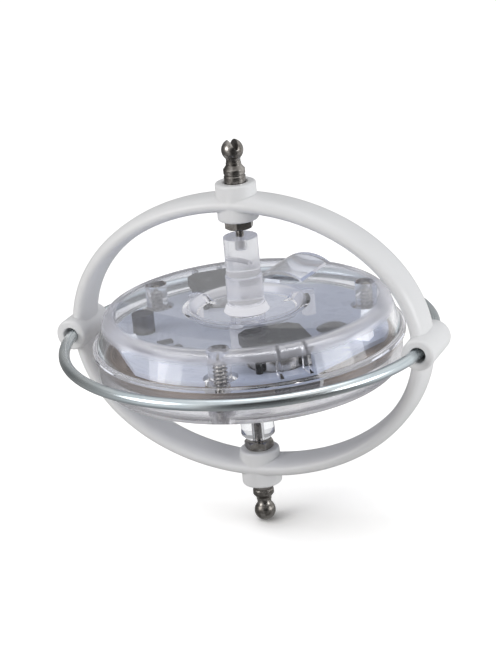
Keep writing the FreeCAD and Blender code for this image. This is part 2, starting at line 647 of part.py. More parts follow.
def add_hood(piece):
    """Raises a hollow arched hood on the deck, its axis along a radius."""
    def arch(half_width, rise, base):
        return [(-half_width, base), (half_width, base), (half_width, DECK),
                Arc(crown_radius(half_width, rise), 1), (-half_width, DECK)]
    outer = arch(S.hood_half_width, S.hood_rise, DECK_UNDER + S.wall / 2)
    piece.extrude("hood", outer, HOOD_FAR - HOOD_NEAR, plane="XZ_Plane",
                  turn=S.hood_turn, reach=HOOD_NEAR, across=True)
    inner = arch(S.hood_half_width - S.hood_wall, S.hood_rise - S.hood_wall, DECK_UNDER - S.overrun)
    piece.extrude("hood_hollow", inner, HOOD_FAR - HOOD_NEAR - S.hood_wall * 2, cut=True,
                  plane="XZ_Plane", turn=S.hood_turn, reach=HOOD_NEAR + S.hood_wall, across=True)


def lower_shell():
    """Clear lower shell: base, hub tube, screw pillars and the ledge for the weight ring."""
    piece = Piece("rotor_lower_shell")
    ledge = INNER_RADIUS - S.ledge_width
    recess_top = S.base_recess_depth - S.base_drop
    piece.turned("shell", [
        (S.hub_bore_radius, -S.hub_reach), (S.hub_radius, -S.hub_reach), (S.hub_radius, recess_top),
        (RECESS_RADIUS, recess_top), (RECESS_RADIUS, -S.base_drop),
        (LOWER_SIDE_END - S.lower_shoulder_width, -S.base_drop), Arc(S.lower_shoulder_round, 1),
        (LOWER_SIDE_END, -LOWER_SHOULDER_Z), (SIDE_RADIUS, -S.flange_height),
        (FLANGE_RADIUS, -S.flange_height), (FLANGE_RADIUS, 0), (INNER_RADIUS, 0),
        (INNER_RADIUS, WEIGHT_BASE), (ledge, WEIGHT_BASE), (ledge, -BASE_INNER),
        (S.hub_radius, -BASE_INNER), (S.hub_radius, -S.hub_joint), (S.hub_bore_radius, -S.hub_joint)])
    floor_middle = BASE_INNER + S.wall / 2
    pillar = piece.extrude("pillar", [polar(SCREW_REACH, S.screw_turn, S.lower_pillar_radius)],
                           floor_middle - S.pillar_joint, lift=-floor_middle)
    piece.repeat("pillars", pillar)
    head = S.screw_head_radius + S.head_clearance
    recess = piece.extrude("head_recess", [polar(SCREW_REACH, S.screw_turn, head)],
                           S.screw_head_depth + S.overrun, cut=True, lift=-S.base_drop - S.overrun)
    piece.repeat("head_recesses", recess)
    shank = S.screw_thread_radius + S.screw_clearance
    hole = piece.extrude("screw_hole", [polar(SCREW_REACH, S.screw_turn, shank)],
                         S.base_drop, cut=True, lift=-S.base_drop)
    piece.repeat("screw_holes", hole)
    return piece.body


def axle_cap(label, cap_end, flip, chamfered, string_hole):
    """Clear plug on the end of the hub tube, with the bearing bore for a stud's pin."""
    piece = Piece(label, flip=flip)
    spigot = S.hub_bore_radius - S.spigot_clearance
    bore = S.pin_radius + S.bearing_clearance
    end = [(S.cap_radius, cap_end)]
    if chamfered:
        end = [(S.cap_radius, cap_end - S.cap_chamfer), (S.cap_radius - S.cap_chamfer, cap_end)]
    piece.turned("plug", [
        (0, S.hub_reach - S.spigot_length), (spigot, S.hub_reach - S.spigot_length),
        (spigot, S.hub_reach), (S.cap_radius, S.hub_reach), *end,
        (bore, cap_end), (bore, BORE_END), (0, BORE_END)])
    if string_hole:
        piece.extrude("string_hole", [Disc(0, cap_end - S.string_hole_drop, S.string_hole_radius)],
                      (S.cap_radius + S.overrun) * 2, cut=True, both_ways=True,
                      plane="XZ_Plane", turn=S.string_hole_turn, across=True)
    return piece.body


def case_screws():
    """Three pan-head self-tapping screws that enter from below."""
    screws = []
    for copy in range(COPIES):
        turn = S.screw_turn + copy * COPY_STEP
        seat = S.screw_head_depth - S.base_drop
        piece = Piece(f"case_screw_{copy + 1}", circle=SCREW_REACH, turn=turn, lift=seat)
        thread, head = S.screw_thread_radius, S.screw_head_radius
        piece.turned("screw", [
            (0, -S.screw_head_height), (head, -S.screw_head_height), (head, 0), (thread, 0),
            (thread, SCREW_LENGTH - S.screw_point), (thread / 2, SCREW_LENGTH), (0, SCREW_LENGTH)])
        for name, swing in (("slot_one", 0.0), ("slot_two", 90.0)):
            slot = box(S.drive_span / 2, S.drive_width / 2)
            piece.extrude(name, slot, S.drive_depth + S.overrun, cut=True, turn=fixed(swing),
                          lift=-S.screw_head_height - S.overrun)
        screws.append(piece)
    return group("rotor_screws", screws)


def weight_ring():
    """Steel ring under the board, notched round the screw pillars."""
    piece = Piece("weight_ring")
    inner = WEIGHT_IN
    piece.turned("ring", [(inner, WEIGHT_BASE), (WEIGHT_OUT, WEIGHT_BASE),
                          (WEIGHT_OUT, BOARD_UNDER), (inner, BOARD_UNDER)])
    notch = S.lower_pillar_radius + S.weight_notch_gap
    cut = piece.extrude("notch", [polar(SCREW_REACH, S.screw_turn, notch)],
                        S.weight_height + S.overrun * 2, cut=True, lift=WEIGHT_BASE - S.overrun)
    piece.repeat("notches", cut)
    return piece.body


def circuit_board():
    """Round board with three flats, three screw notches, a hub hole and two cell holes."""
    piece = Piece("circuit_board")
    piece.extrude("disc", [Disc(0, 0, BOARD_RADIUS)], S.board_thickness, lift=BOARD_UNDER)
    through = S.board_thickness + S.overrun * 2
    start = BOARD_UNDER - S.overrun
    flat, outside = BOARD_RADIUS - S.board_flat_inset, BOARD_RADIUS + S.overrun
    side = [(flat, -BOARD_RADIUS), (outside, -BOARD_RADIUS), (outside, BOARD_RADIUS), (flat, BOARD_RADIUS)]
    cut = piece.extrude("flat", side, through, cut=True, lift=start, turn=S.screw_turn + COPY_STEP / 2)
    piece.repeat("flats", cut)
    notch = S.pillar_radius + S.board_notch_gap
    cut = piece.extrude("notch", [polar(SCREW_REACH, S.screw_turn, notch)], through, cut=True, lift=start)
    piece.repeat("notches", cut)
    holes = [Disc(0, 0, S.hub_radius + S.board_hub_gap)]
    for side, offset in PACK_SIDES:
        holes.append(polar(PACK_REACH, S.pack_turn + offset, S.cell_radius + S.board_cell_gap))
    piece.extrude("holes", holes, through, cut=True, lift=start)
    return piece.body


def pack_piece(label, offset, lift=None):
    """A piece centred on one of the two cell packs, its X along the radius."""
    return Piece(label, circle=PACK_REACH, turn=S.pack_turn + offset, lift=lift)


def cell_holder(side, offset):
    """Black cap over a cell pack, with cut corners and four legs that stand on the board."""
    piece = pack_piece(f"cell_holder_{side}", offset)
    radial, across, corner = HOLDER_RADIAL, HOLDER_ACROSS, S.holder_corner
    outline = [(-radial, -across + corner), (-radial + corner, -across), (radial - corner, -across),
               (radial, -across + corner), (radial, across - corner), (radial - corner, across),
               (-radial + corner, across), (-radial, across - corner)]
    piece.extrude("cap", outline, S.holder_skirt + S.holder_plate, lift=HOLDER_SKIRT_END)
    inset = S.holder_leg_inset
    legs = [Disc((radial - inset) * x, (across - inset) * y, S.holder_leg_radius)
            for x in (1, -1) for y in (1, -1)]
    piece.extrude("legs", legs, HOLDER_INNER_TOP - S.board_lift, lift=S.board_lift)
    piece.extrude("cell_bore", [Disc(0, 0, S.cell_radius + S.holder_clearance)], S.holder_skirt,
                  cut=True, lift=HOLDER_SKIRT_END)
    return piece.body


def cell_pack(side, offset):
    """Two button cells, one on the other."""
    cells = []
    edge, rim, top = S.cell_edge, S.cell_radius, S.cell_height
    for level in (0, 1):
        piece = pack_piece(f"cell_{side}_{level + 1}", offset, lift=CELL_BASE + S.cell_height * level)
        piece.turned("cell", [
            (0, 0), (S.cell_cap_radius, 0), (S.cell_cap_radius, S.cell_cap_height),
            (rim - edge, S.cell_cap_height), Arc(edge, 1), (rim, S.cell_cap_height + edge),
            (rim, top - edge), Arc(edge, 1), (rim - edge, top), (0, top)])
        cells.append(piece)
    return group(f"button_cells_{side}", cells)


def contacts(label, lift):
    """One contact plate at each pack."""
    plates = []
    for side, offset in PACK_SIDES:
        piece = pack_piece(f"{label}_{side}", offset, lift=lift)
        piece.extrude("plate", [Disc(0, 0, S.contact_radius)], S.contact_thickness)
        plates.append(piece)
    return group(label, plates)


def lamps():
    """Surface-mounted lamps with a round window, on the board near its edge."""
    made = []
    for count, turn in enumerate(LAMP_TURNS, start=1):
        piece = Piece(f"lamp_{count}", circle=BOARD_RADIUS - S.lamp_inset, turn=fixed(turn),
                      lift=S.board_lift)
        piece.extrude("case", box(S.lamp_length / 2, S.lamp_width / 2), S.lamp_height)
        piece.extrude("window", [Disc(0, 0, S.lamp_lens_radius)], S.lamp_lens_depth + S.overrun,
                      cut=True, lift=S.lamp_height - S.lamp_lens_depth)
        made.append(piece)
    return group("lamps", made)


def resistors():
    """Small surface-mounted resistors."""
    made = []
    for count, turn in enumerate(RESISTOR_TURNS, start=1):
        piece = Piece(f"resistor_{count}", circle=BOARD_RADIUS - S.resistor_inset, turn=fixed(turn),
                      lift=S.board_lift)
        piece.extrude("case", box(S.resistor_length / 2, S.resistor_width / 2), S.resistor_height)
        made.append(piece)
    return group("resistors", made)


def controller_chip():
    """Resin drop over the bare controller chip."""
    piece = Piece("controller_chip", circle=BOARD_RADIUS - S.chip_inset, turn=S.chip_turn, lift=S.board_lift)
    crown = crown_radius(S.chip_radius, S.chip_height)
    piece.turned("drop", [(0, 0), (S.chip_radius, 0), Arc(crown, 1), (0, S.chip_height)])
    return piece.body


def spin_switch():
    """Can, base and loose ball of the switch that closes when the rotor spins."""
    inner = S.switch_radius - S.switch_wall
    base = Piece("spin_switch_base", circle=SWITCH_REACH, turn=S.switch_turn, lift=S.board_lift)
    base.extrude("base", [Disc(0, 0, S.switch_radius)], S.switch_base_height)
    can = Piece("spin_switch_can", circle=SWITCH_REACH, turn=S.switch_turn, lift=SWITCH_FLOOR)
    top = DECK_UNDER - S.switch_gap - SWITCH_FLOOR
    can.turned("can", [(inner, 0), (S.switch_radius, 0), (S.switch_radius, top), (0, top),
                       (0, top - S.switch_wall), (inner, top - S.switch_wall)])
    rest = inner - S.switch_ball_radius - S.switch_ball_gap
    ball = Piece("spin_switch_ball", circle=SWITCH_REACH - rest, turn=S.switch_turn,
                 lift=SWITCH_FLOOR + S.switch_ball_radius + S.switch_ball_gap)
    size = S.switch_ball_radius
    ball.turned("ball", [(0, -size), Arc(size, 1), (size, 0), Arc(size, 1), (0, size)])
    return [base.body, can.body, ball.body]


def build():
    """Makes every sub-part and returns the objects that become files."""
    nodes = [ring_frame(), wire_hoop()]
    nodes.append(stud("upper_stud", flip=False, slotted=True))
    nodes.append(stud("lower_stud", flip=True, slotted=False))
    nodes.append(lock_nut("upper_lock_nut", flip=False))
    nodes.append(lock_nut("lower_lock_nut", flip=True))
    nodes += [upper_shell(), lower_shell()]
    nodes.append(axle_cap("upper_axle_cap", UPPER_CAP_END, flip=False, chamfered=False, string_hole=True))
    nodes.append(axle_cap("lower_axle_cap", LOWER_CAP_END, flip=True, chamfered=True, string_hole=False))
    nodes += [case_screws(), weight_ring(), circuit_board()]
    for side, offset in PACK_SIDES:
        nodes += [cell_holder(side, offset), cell_pack(side, offset)]
    nodes.append(contacts("upper_contacts", CELL_TOP))
    nodes.append(contacts("lower_contacts", CELL_BASE - S.contact_thickness))
    nodes += [lamps(), resistors(), controller_chip()]
    nodes += spin_switch()
    doc.recompute()
    return nodes


def check(nodes):
    """Stops on a failed object, a bad shape or a cut that removed nothing."""
    for item in doc.Objects:
        if "Invalid" in item.State or "Error" in item.State:
            raise RuntimeError(f"{item.Label} failed: {item.State}")
        if item.TypeId in ("PartDesign::Pocket", "PartDesign::Groove"):
            if item.Shape.Volume >= item.BaseFeature.Shape.Volume:
                raise RuntimeError(f"{item.Label} cuts nothing")
    for node in nodes:
        if node.Shape.isNull() or not node.Shape.isValid() or not node.Shape.Solids:
            raise RuntimeError(f"{node.Label} has no valid solid")


def export(nodes):
    os.makedirs("parts", exist_ok=True)
    for node in nodes:
        node.Shape.exportStep(f"parts/{node.Label}.step")
        print(node.Label, len(node.Shape.Solids), round(node.Shape.Volume, 1))


parts = build()
check(parts)
export(parts)
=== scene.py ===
import math

import bpy
import bmesh
import numpy as np
from mathutils import Matrix, Vector


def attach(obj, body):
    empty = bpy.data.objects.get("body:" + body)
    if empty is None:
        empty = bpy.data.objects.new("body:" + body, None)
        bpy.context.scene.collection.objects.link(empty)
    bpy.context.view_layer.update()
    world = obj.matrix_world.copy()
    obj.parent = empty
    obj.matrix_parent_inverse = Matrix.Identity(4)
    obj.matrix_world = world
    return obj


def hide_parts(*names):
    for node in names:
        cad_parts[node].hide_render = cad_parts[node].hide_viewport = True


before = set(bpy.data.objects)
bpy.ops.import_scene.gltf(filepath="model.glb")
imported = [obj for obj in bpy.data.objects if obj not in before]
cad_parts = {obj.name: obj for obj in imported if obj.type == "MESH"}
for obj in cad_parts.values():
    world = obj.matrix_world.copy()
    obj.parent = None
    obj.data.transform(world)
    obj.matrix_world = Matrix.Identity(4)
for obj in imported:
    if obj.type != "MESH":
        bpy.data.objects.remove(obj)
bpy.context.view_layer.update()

# Looks of a demonstration gyroscope: a clear, lit rotor in a white oval frame with a wire hoop.
# Lengths are in millimetres until a mesh is made. Heights of the frame and the rotor are measured
# from the rotor's middle plane, as in the part's own drawing.

MM = 0.001
IN_MM = 1000.0
MIDDLE = 42.75                  # height of the rotor's middle plane above the floor
FULL_TURN = 2 * math.pi
SHARP = math.radians(32.0)      # edges sharper than this aren't shaded smooth
THIRDS = (0.0, 120.0, 240.0)    # turns of what stands round the rotor three times


# ---------------------------------------------------------------- shader maths

class Wire:
    """A shader socket that adds Math nodes when it takes part in a Python expression."""

    def __init__(self, recipe, socket):
        self.recipe = recipe
        self.socket = socket

    def math(self, operation, *others):
        return self.recipe.node("ShaderNodeMath", {"operation": operation}, dict(enumerate((self,) + others)))

    def __add__(self, other):
        return self.math("ADD", other)

    def __mul__(self, other):
        return self.math("MULTIPLY", other)

    def __sub__(self, other):
        return self.math("SUBTRACT", other)

    def __truediv__(self, other):
        return self.math("DIVIDE", other)

    def __rsub__(self, other):
        return self.recipe.number("SUBTRACT", other, self)

    __radd__ = __add__
    __rmul__ = __mul__

    def ramp(self, low, high, to_low=0.0, to_high=1.0):
        """Smooth step from to_low to to_high while the value goes from low to high."""
        return self.recipe.node("ShaderNodeMapRange", {"clamp": True, "interpolation_type": "SMOOTHSTEP"},
                                {"Value": self, "From Min": low, "From Max": high,
                                 "To Min": to_low, "To Max": to_high})


class Sheet:
    """A node tree, and one method that adds any node to it."""

    def __init__(self, owner, output):
        owner.use_nodes = True
        self.tree = owner.node_tree
        self.tree.nodes.clear()
        self.out = self.tree.nodes.new(output)

    def put(self, socket, value):
        if isinstance(value, Wire):
            self.tree.links.new(value.socket, socket)
        elif socket.type == "RGBA" and len(value) == 3:
            socket.default_value = (*value, 1.0)
        else:
            socket.default_value = value

    def node(self, kind, settings=None, inputs=None, output=0):
        """Adds a node: its settings first, then its sockets by name or number."""
        made = self.tree.nodes.new(kind)
        for label, value in (settings or {}).items():
            setattr(made, label, value)
        for label, value in (inputs or {}).items():
            self.put(made.inputs[label], value)
        return Wire(self, made.outputs[output])

    def show(self, wire):
        self.tree.links.new(wire.socket, self.out.inputs["Surface"])

    def number(self, operation, first, second):
        return self.node("ShaderNodeMath", {"operation": operation}, {0: first, 1: second})

    def light_path(self, name):
        return self.node("ShaderNodeLightPath", output=name)

    def place(self):
        return self.node("ShaderNodeTexCoord", output="Object")

    def parts(self, vector):
        """The three numbers of a vector."""
        first = self.node("ShaderNodeSeparateXYZ", inputs={"Vector": vector})
        outputs = first.socket.node.outputs
        return [Wire(self, outputs[axis]) for axis in range(3)]

    def radius(self, x, y):
        """Distance from the part's axis."""
        return (x * x + y * y).math("SQRT")

    def near_columns(self, x, y, reach, turn, full, none):
        """Mask of three upright columns round the axis: 1 up to the distance full from a column's own
        axis, and 0 from the distance none on. Lengths are in millimetres."""
        flat = self.node("ShaderNodeCombineXYZ", inputs={"X": x, "Y": y, "Z": 0.0})
        mask = 0.0
        for third in THIRDS:
            axis = (*(v * MM for v in at_turn(reach, turn + third)), 0.0)
            away = self.node("ShaderNodeVectorMath", {"operation": "DISTANCE"}, {0: flat, 1: axis}, output="Value")
            mask = mask + away.ramp(full * MM, none * MM, 1.0, 0.0)
        return mask

    def seen_and_mirrored(self):
        """Two masks: rays from the camera, straight or through clear parts, and rays that a polished
        part mirrors."""
        seen = (self.light_path("Is Camera Ray") + self.light_path("Is Transmission Ray")).math("MINIMUM", 1.0)
        return seen, self.light_path("Is Glossy Ray") * (1.0 - seen)

    def noise(self, scale, detail=3.0, roughness=0.5, stretch=(1, 1, 1), where=None):
        vector = self.node("ShaderNodeMapping", inputs={"Vector": where or self.place(), "Scale": stretch})
        return self.node("ShaderNodeTexNoise", {"noise_dimensions": "3D"},
                         {"Vector": vector, "Scale": scale, "Detail": detail, "Roughness": roughness})

    def blend(self, factor, first, second):
        """Mix of two colours, which are a Mix node's sockets 6 and 7 and its output 2."""
        return self.node("ShaderNodeMix", {"data_type": "RGBA"}, {0: factor, 6: first, 7: second}, output=2)

    def mix(self, factor, first, second):
        return self.node("ShaderNodeMixShader", inputs={0: factor, 1: first, 2: second})


class Recipe(Sheet):
    """A material with a Principled shader."""

    def __init__(self, name, **constants):
        self.material = bpy.data.materials.new(name)
        super().__init__(self.material, "ShaderNodeOutputMaterial")
        self.shader = self.tree.nodes.new("ShaderNodeBsdfPrincipled")
        self.surface = Wire(self, self.shader.outputs[0])
        self.show(self.surface)
        for label, value in constants.items():
            self.feed(label.replace("_", " "), value)

    def feed(self, label, value):
        names = {name.lower(): name for name in self.shader.inputs.keys()}
        self.put(self.shader.inputs[names[label.lower()]], value)

    def bump(self, height, distance, strength=1.0, normal=None):
        inputs = {"Height": height, "Distance": distance, "Strength": strength}
        if normal is not None:
            inputs["Normal"] = normal
        self.feed("Normal", self.node("ShaderNodeBump", inputs=inputs))

    def soft_edges(self, radius):
        """Normals rounded over edges and joints within a radius."""
        return self.node("ShaderNodeBevel", {"samples": 6}, {"Radius": radius})


def white_plastic():
    made = Recipe("frame_white_plastic", IOR=1.47, Coat_Weight=0.15, Coat_Roughness=0.2)
    cloud = made.noise(60.0, 3.0)
    made.feed("Base Color", made.blend(cloud.ramp(0.3, 0.7), (0.800, 0.803, 0.812), (0.832, 0.834, 0.840)))
    made.feed("Roughness", cloud.ramp(0.25, 0.75, 0.30, 0.42))
    grain = made.noise(2600.0, 2.0)
    made.bump(grain, 0.00001, 0.25, made.soft_edges(0.0006))
    return made.material


def clear_plastic(name, tint, deck_colour, rough):
    """Clear plastic that is greyer where the flat deck is looked through, and milky in its thick places.

    Milky are the rim's shoulder, the wall of the recess, the lower wall, the screw pillars, the posts
    and the foot and root of the hub. The foot, the posts, the root of the hub and the side of the recess
    that is turned to the front also glow: this glow is painted light, put in for the light that such
    plastic gathers, and on the side of the recess it is a painted highlight picked by the way the surface
    faces. Lamps pass straight through it, and so does what its own inner faces mirror, which keeps its
    edges light. A zone ramps in and out over distances in millimetres from the rotor's axis (reach) or
    its middle plane (height)."""
    made = Recipe(name, Transmission_Weight=1.0, IOR=1.46)
    x, y, z = made.parts(made.place())
    reach = made.radius(x, y) * IN_MM
    height = z * IN_MM - MIDDLE
    top = height.ramp(4.2, 5.2)
    deck = top * reach.ramp(RECESS + 0.3, RECESS + 1.1) * reach.ramp(28.0, 29.4, 1.0, 0.0)
    rim = height.ramp(4.6, 5.3) * reach.ramp(27.4, 28.4)
    recess = top * reach.ramp(RECESS - 1.9, RECESS - 1.1) * reach.ramp(RECESS + 0.3, RECESS + 0.9, 1.0, 0.0)
    lower = height.ramp(-1.0, 0.0, 1.0, 0.0) * reach.ramp(27.0, 30.0)
    foot = (height.ramp(FLOOR - 0.8, FLOOR - 0.4) * height.ramp(FLOOR + 1.4, FLOOR + 1.8, 1.0, 0.0)
            * reach.ramp(FOOT + 0.1, FOOT + 0.4, 1.0, 0.0))
    hub = height.ramp(DECK - 0.1, DECK + 0.5) * reach.ramp(HUB + 0.28, HUB + 0.68, 1.0, 0.0)
    pillars = made.near_columns(x, y, SCREW, SCREW_TURN, 2.6, 3.1) * height.ramp(5.6, 6.2, 1.0, 0.0)
    posts = made.near_columns(x, y, POST, POST_TURN, POST_RADIUS, 1.8) * height.ramp(5.2, 5.8, 1.0, 0.0)
    # Painted highlight: the part of the recess's wall whose normal faces the front is picked out to glow.
    across, along, _ = made.parts(made.node("ShaderNodeNewGeometry", output="Normal"))
    to_front = (across * 0.6 - along * 0.6).ramp(0.08, 0.45)
    wall = RECESS - DECK
    turned = recess * (reach - height).ramp(wall + 0.9, wall + 1.5, 1.0, 0.0) * to_front
    zones = (               # milkiness, added roughness, painted glow (painted light)
        (rim, 0.31, 0.16, 0.0),
        (recess, 0.40, 0.14, 0.0),
        (lower, 0.18, 0.16, 0.0),
        (pillars, 0.12, 0.0, 0.0),
        (foot, 0.90, 0.36, 0.75),
        (hub, 0.22, 0.18, 0.10),
        (posts, 0.50, 0.0, 0.32),
        (turned, 0.0, 0.0, 0.45))
    milky, soft, painted_glow = (
        sum(zone[0] * zone[column] for zone in zones if zone[column]) for column in (1, 2, 3))
    cloud = made.noise(90.0, 2.0)
    # Greyer tint over the flat deck, which darkens what is seen through it.
    made.feed("Base Color", made.blend(deck * cloud.ramp(0.2, 0.8, 0.9, 1.0), tint, deck_colour))
    made.feed("Roughness", rough * cloud.ramp(0.35, 0.75, 0.6, 1.4) + soft)
    haze = {"Color": (0.75, 0.75, 0.81)}
    hazy = made.mix(0.5, made.node("ShaderNodeBsdfTranslucent", inputs=haze),
                    made.node("ShaderNodeBsdfDiffuse", inputs=haze))
    # Painted light: the emission that the zones' glow column mixes in, on plastic that is no lamp.
    glow = made.node("ShaderNodeEmission", inputs={"Color": (0.95, 0.95, 1.0), "Strength": 0.85})
    body = made.mix(painted_glow, made.mix(milky + 0.02, made.surface, hazy), glow)
    lamp_light = made.node("ShaderNodeBsdfTransparent", inputs={"Color": (0.98, 0.98, 0.985)})
    mirrored = made.node("ShaderNodeBsdfTransparent", inputs={"Color": (0.95, 0.95, 0.965)})
    lit = made.mix(made.light_path("Is Shadow Ray"), body, lamp_light)
    made.show(made.mix(made.light_path("Is Reflection Ray"), lit, mirrored))
    return made.material


def zinc_wire():
    """Bright zinc plating with fine drawn streaks along the wire and patches of duller zinc."""
    made = Recipe("zinc_wire", Metallic=1.0)
    along = made.node("ShaderNodeUVMap")
    streaks = made.noise(1.0, 3.0, 0.6, (5.0, 14.0, 1.0), along)
    dull = made.noise(55.0, 3.0)
    pale = made.blend(dull.ramp(0.35, 0.7), (0.56, 0.62, 0.65), (0.70, 0.74, 0.75))
    made.feed("Base Color", made.blend(streaks.ramp(0.4, 0.8, 0.0, 0.45), pale, (0.34, 0.40, 0.44)))
    made.feed("Roughness", streaks.ramp(0.3, 0.8, 0.19, 0.27) + dull.ramp(0.3, 0.7, 0.0, 0.05))
    made.bump(streaks, 0.00001, 0.4)
    return made.material


def turned_steel(name, light, dark, rough, rings):
    """Turned steel: fine rings round the axis and patches of darker oxide."""
    made = Recipe(name, Metallic=1.0)
    patches = made.noise(420.0, 4.0, 0.65)
    height = made.parts(made.place())[2]
    wave = (height * rings).math("SINE")
    fine = made.noise(1.0, 2.0, 0.5, (60.0, 60.0, 5200.0))
    made.feed("Base Color", made.blend(patches.ramp(0.38, 0.66), dark, light))
    made.feed("Roughness", patches.ramp(0.3, 0.7, rough * 1.4, rough * 0.8))
    made.bump(wave * 0.35 + fine, 0.00001, 0.45)
    return made.material


def weight_bronze():
    """Plated steel ring: bronze with fine turned rings, and a black patch that ends at a white mark.
    Places round the ring are in degrees from the X axis."""
    made = Recipe("weight_bronze")
    x, y, z = made.parts(made.place())
    turn = y.math("ARCTAN2", x) * (180.0 / math.pi)
    finest = 9000.0
    rings = made.noise(1.0, 2.0, where=made.node("ShaderNodeCombineXYZ", inputs={
        "X": made.radius(x, y) * finest, "Y": turn * 0.05, "Z": z * finest}))
    bronze = made.blend(rings.ramp(0.3, 0.7), (0.16, 0.115, 0.085), (0.33, 0.26, 0.20))
    # The black patch and the white mark are flat colours set between two turns round the ring.
    patch_start, mark_start, mark_end, edge = -59.0, -41.5, -40.2, 0.3
    patch = turn.ramp(patch_start, patch_start + edge + 0.1) * turn.ramp(mark_start, mark_start + edge, 1.0, 0.0)
    mark = turn.ramp(mark_start, mark_start + edge) * turn.ramp(mark_end, mark_end + edge, 1.0, 0.0)
    black, mark_white = (0.012, 0.010, 0.010), (0.8, 0.8, 0.8)
    made.feed("Base Color", made.blend(mark, made.blend(patch, bronze, black), mark_white))
    made.feed("Metallic", 0.9 - (patch + mark) * 0.85)
    made.feed("Roughness", rings.ramp(0.2, 0.8, 0.24, 0.42))
    return made.material


def board_mask():
    """Pale lilac solder mask, greyer on its side towards +X, which is painted shade, with fine raised
    tracks: arcs every 1.3 mm in some zones and spokes, 48 in a half turn, in the others."""
    made = Recipe("board_mask", Specular_IOR_Level=0.2, Coat_Weight=0.06, Coat_Roughness=0.2)
    x, y, _ = made.parts(made.place())
    lane_pitch, spoke_count = 1.3, 48.0
    turn = y.math("ARCTAN2", x)
    reach = made.radius(x, y) * IN_MM
    cloud = made.noise(160.0, 3.0)
    pale = made.blend(cloud.ramp(0.3, 0.7), (0.73, 0.78, 0.93), (0.80, 0.85, 0.97))
    # Painted shade: the board turns greyer towards +X.
    painted_shade_plus_x = x.ramp(0.002, 0.011)
    pale = made.blend(painted_shade_plus_x * 0.8, pale, (0.52, 0.58, 0.74))
    lanes = (reach * (1.0 / lane_pitch)).math("FRACT").ramp(0.06, 0.12, 1.0, 0.0)
    spokes = (turn * (spoke_count / math.pi)).math("FRACT").ramp(0.05, 0.12, 1.0, 0.0)
    zone = made.noise(95.0, 0.0).ramp(0.50, 0.52)
    tracks = lanes * zone + spokes * (1.0 - zone)
    made.feed("Base Color", made.blend(tracks * 0.22, pale, (0.20, 0.24, 0.36)))
    made.feed("Roughness", cloud.ramp(0.3, 0.7, 0.24, 0.36))
    made.bump(tracks, 0.00004, 0.5)
    return made.material


def dark_plastic(name, colour, rough, specks=0.0):
    """Dark moulded plastic: cloudy, and with small pale specks that are painted glints."""
    made = Recipe(name, Specular_IOR_Level=0.18)
    cloud = made.noise(300.0, 3.0)
    mottled = made.blend(cloud.ramp(0.3, 0.7), colour, tuple(c * 1.5 + 0.006 for c in colour))
    # Painted glints: small pale specks, as many as the specks share asks for.
    painted_glints = made.noise(1100.0, 2.0).ramp(0.60, 0.68) * specks
    made.feed("Base Color", made.blend(painted_glints, mottled, (0.30, 0.33, 0.31)))
    made.feed("Roughness", cloud.ramp(0.3, 0.7, rough * 0.8, rough * 1.2))
    made.bump(made.noise(2200.0, 2.0), 0.00001, 0.3, made.soft_edges(0.0002))
    return made.material


def plated(name, light, dark, rough):
    """Plated or bare metal with cloudy patches and fine marks that run round the part's axis."""
    made = Recipe(name, Metallic=1.0)
    cloud = made.noise(500.0, 3.0)
    made.feed("Base Color", made.blend(cloud.ramp(0.35, 0.7), dark, light))
    made.feed("Roughness", cloud.ramp(0.3, 0.7, rough * 1.3, rough * 0.8))
    made.bump(made.noise(1.0, 2.0, 0.5, (300.0, 300.0, 4000.0)), 0.00001, 0.4, made.soft_edges(0.00015))
    return made.material


def lamp_case():
    """White case of a surface-mounted lamp, with a faint glow that is painted light: it makes the small cases shine
    white.
    """
    made = Recipe("lamp_case", Roughness=0.3)
    cloud = made.noise(400.0, 2.0)
    made.feed("Base Color", made.blend(cloud.ramp(0.3, 0.7), (0.86, 0.87, 0.88), (0.92, 0.92, 0.93)))
    # Painted light: the case's faint emission.
    made.feed("Emission Color", (0.9, 0.93, 1.0))
    made.feed("Emission Strength", 0.55)
    return made.material


# ---------------------------------------------------------------- shapes

def round_turns(count):
    """Turns evenly spaced round a full circle, in radians."""
    return np.linspace(0, FULL_TURN, count, endpoint=False)


def rounded(points, steps=7):
    """Outline of straight runs whose corners (x, y, radius) become arcs.

    A corner with a radius is cut back along both of its runs by radius times the tangent of half the
    turn, and an arc joins the two cuts. Each long run also gets a point close to either end, so that a
    flat face keeps its flat shading beside the arc."""
    most_of_run, nearly_straight = 0.45, 1.55
    longest_lead, lead_share = 0.05, 0.3
    made = []
    count = len(points)
    for index, (x, y, radius) in enumerate(points):
        corner = np.array((x, y), float)
        before = np.array(points[index - 1][:2], float) - corner
        after = np.array(points[(index + 1) % count][:2], float) - corner
        reach_before, reach_after = np.hypot(*before), np.hypot(*after)
        before, after = before / reach_before, after / reach_after
        half = math.acos(max(-1.0, min(1.0, float(before @ after)))) / 2
        if radius <= 0 or half > nearly_straight:
            made.append(corner[None])
            continue
        cut = min(radius / math.tan(half), reach_before * most_of_run, reach_after * most_of_run)
        radius = cut * math.tan(half)
        middle = (before + after) / np.linalg.norm(before + after) * radius / math.sin(half)
        first, last = before * cut - middle, after * cut - middle
        start = math.atan2(first[1], first[0])
        sweep = (math.atan2(last[1], last[0]) - start + math.pi) % FULL_TURN - math.pi
        angles = start + np.linspace(0, 1, steps) * sweep
        arc = corner + middle + radius * np.stack([np.cos(angles), np.sin(angles)], axis=1)
        lead = min(longest_lead, cut * lead_share)
        made.append(np.concatenate([[arc[0] + before * lead], arc, [arc[-1] + after * lead]]))
    return np.concatenate(made)


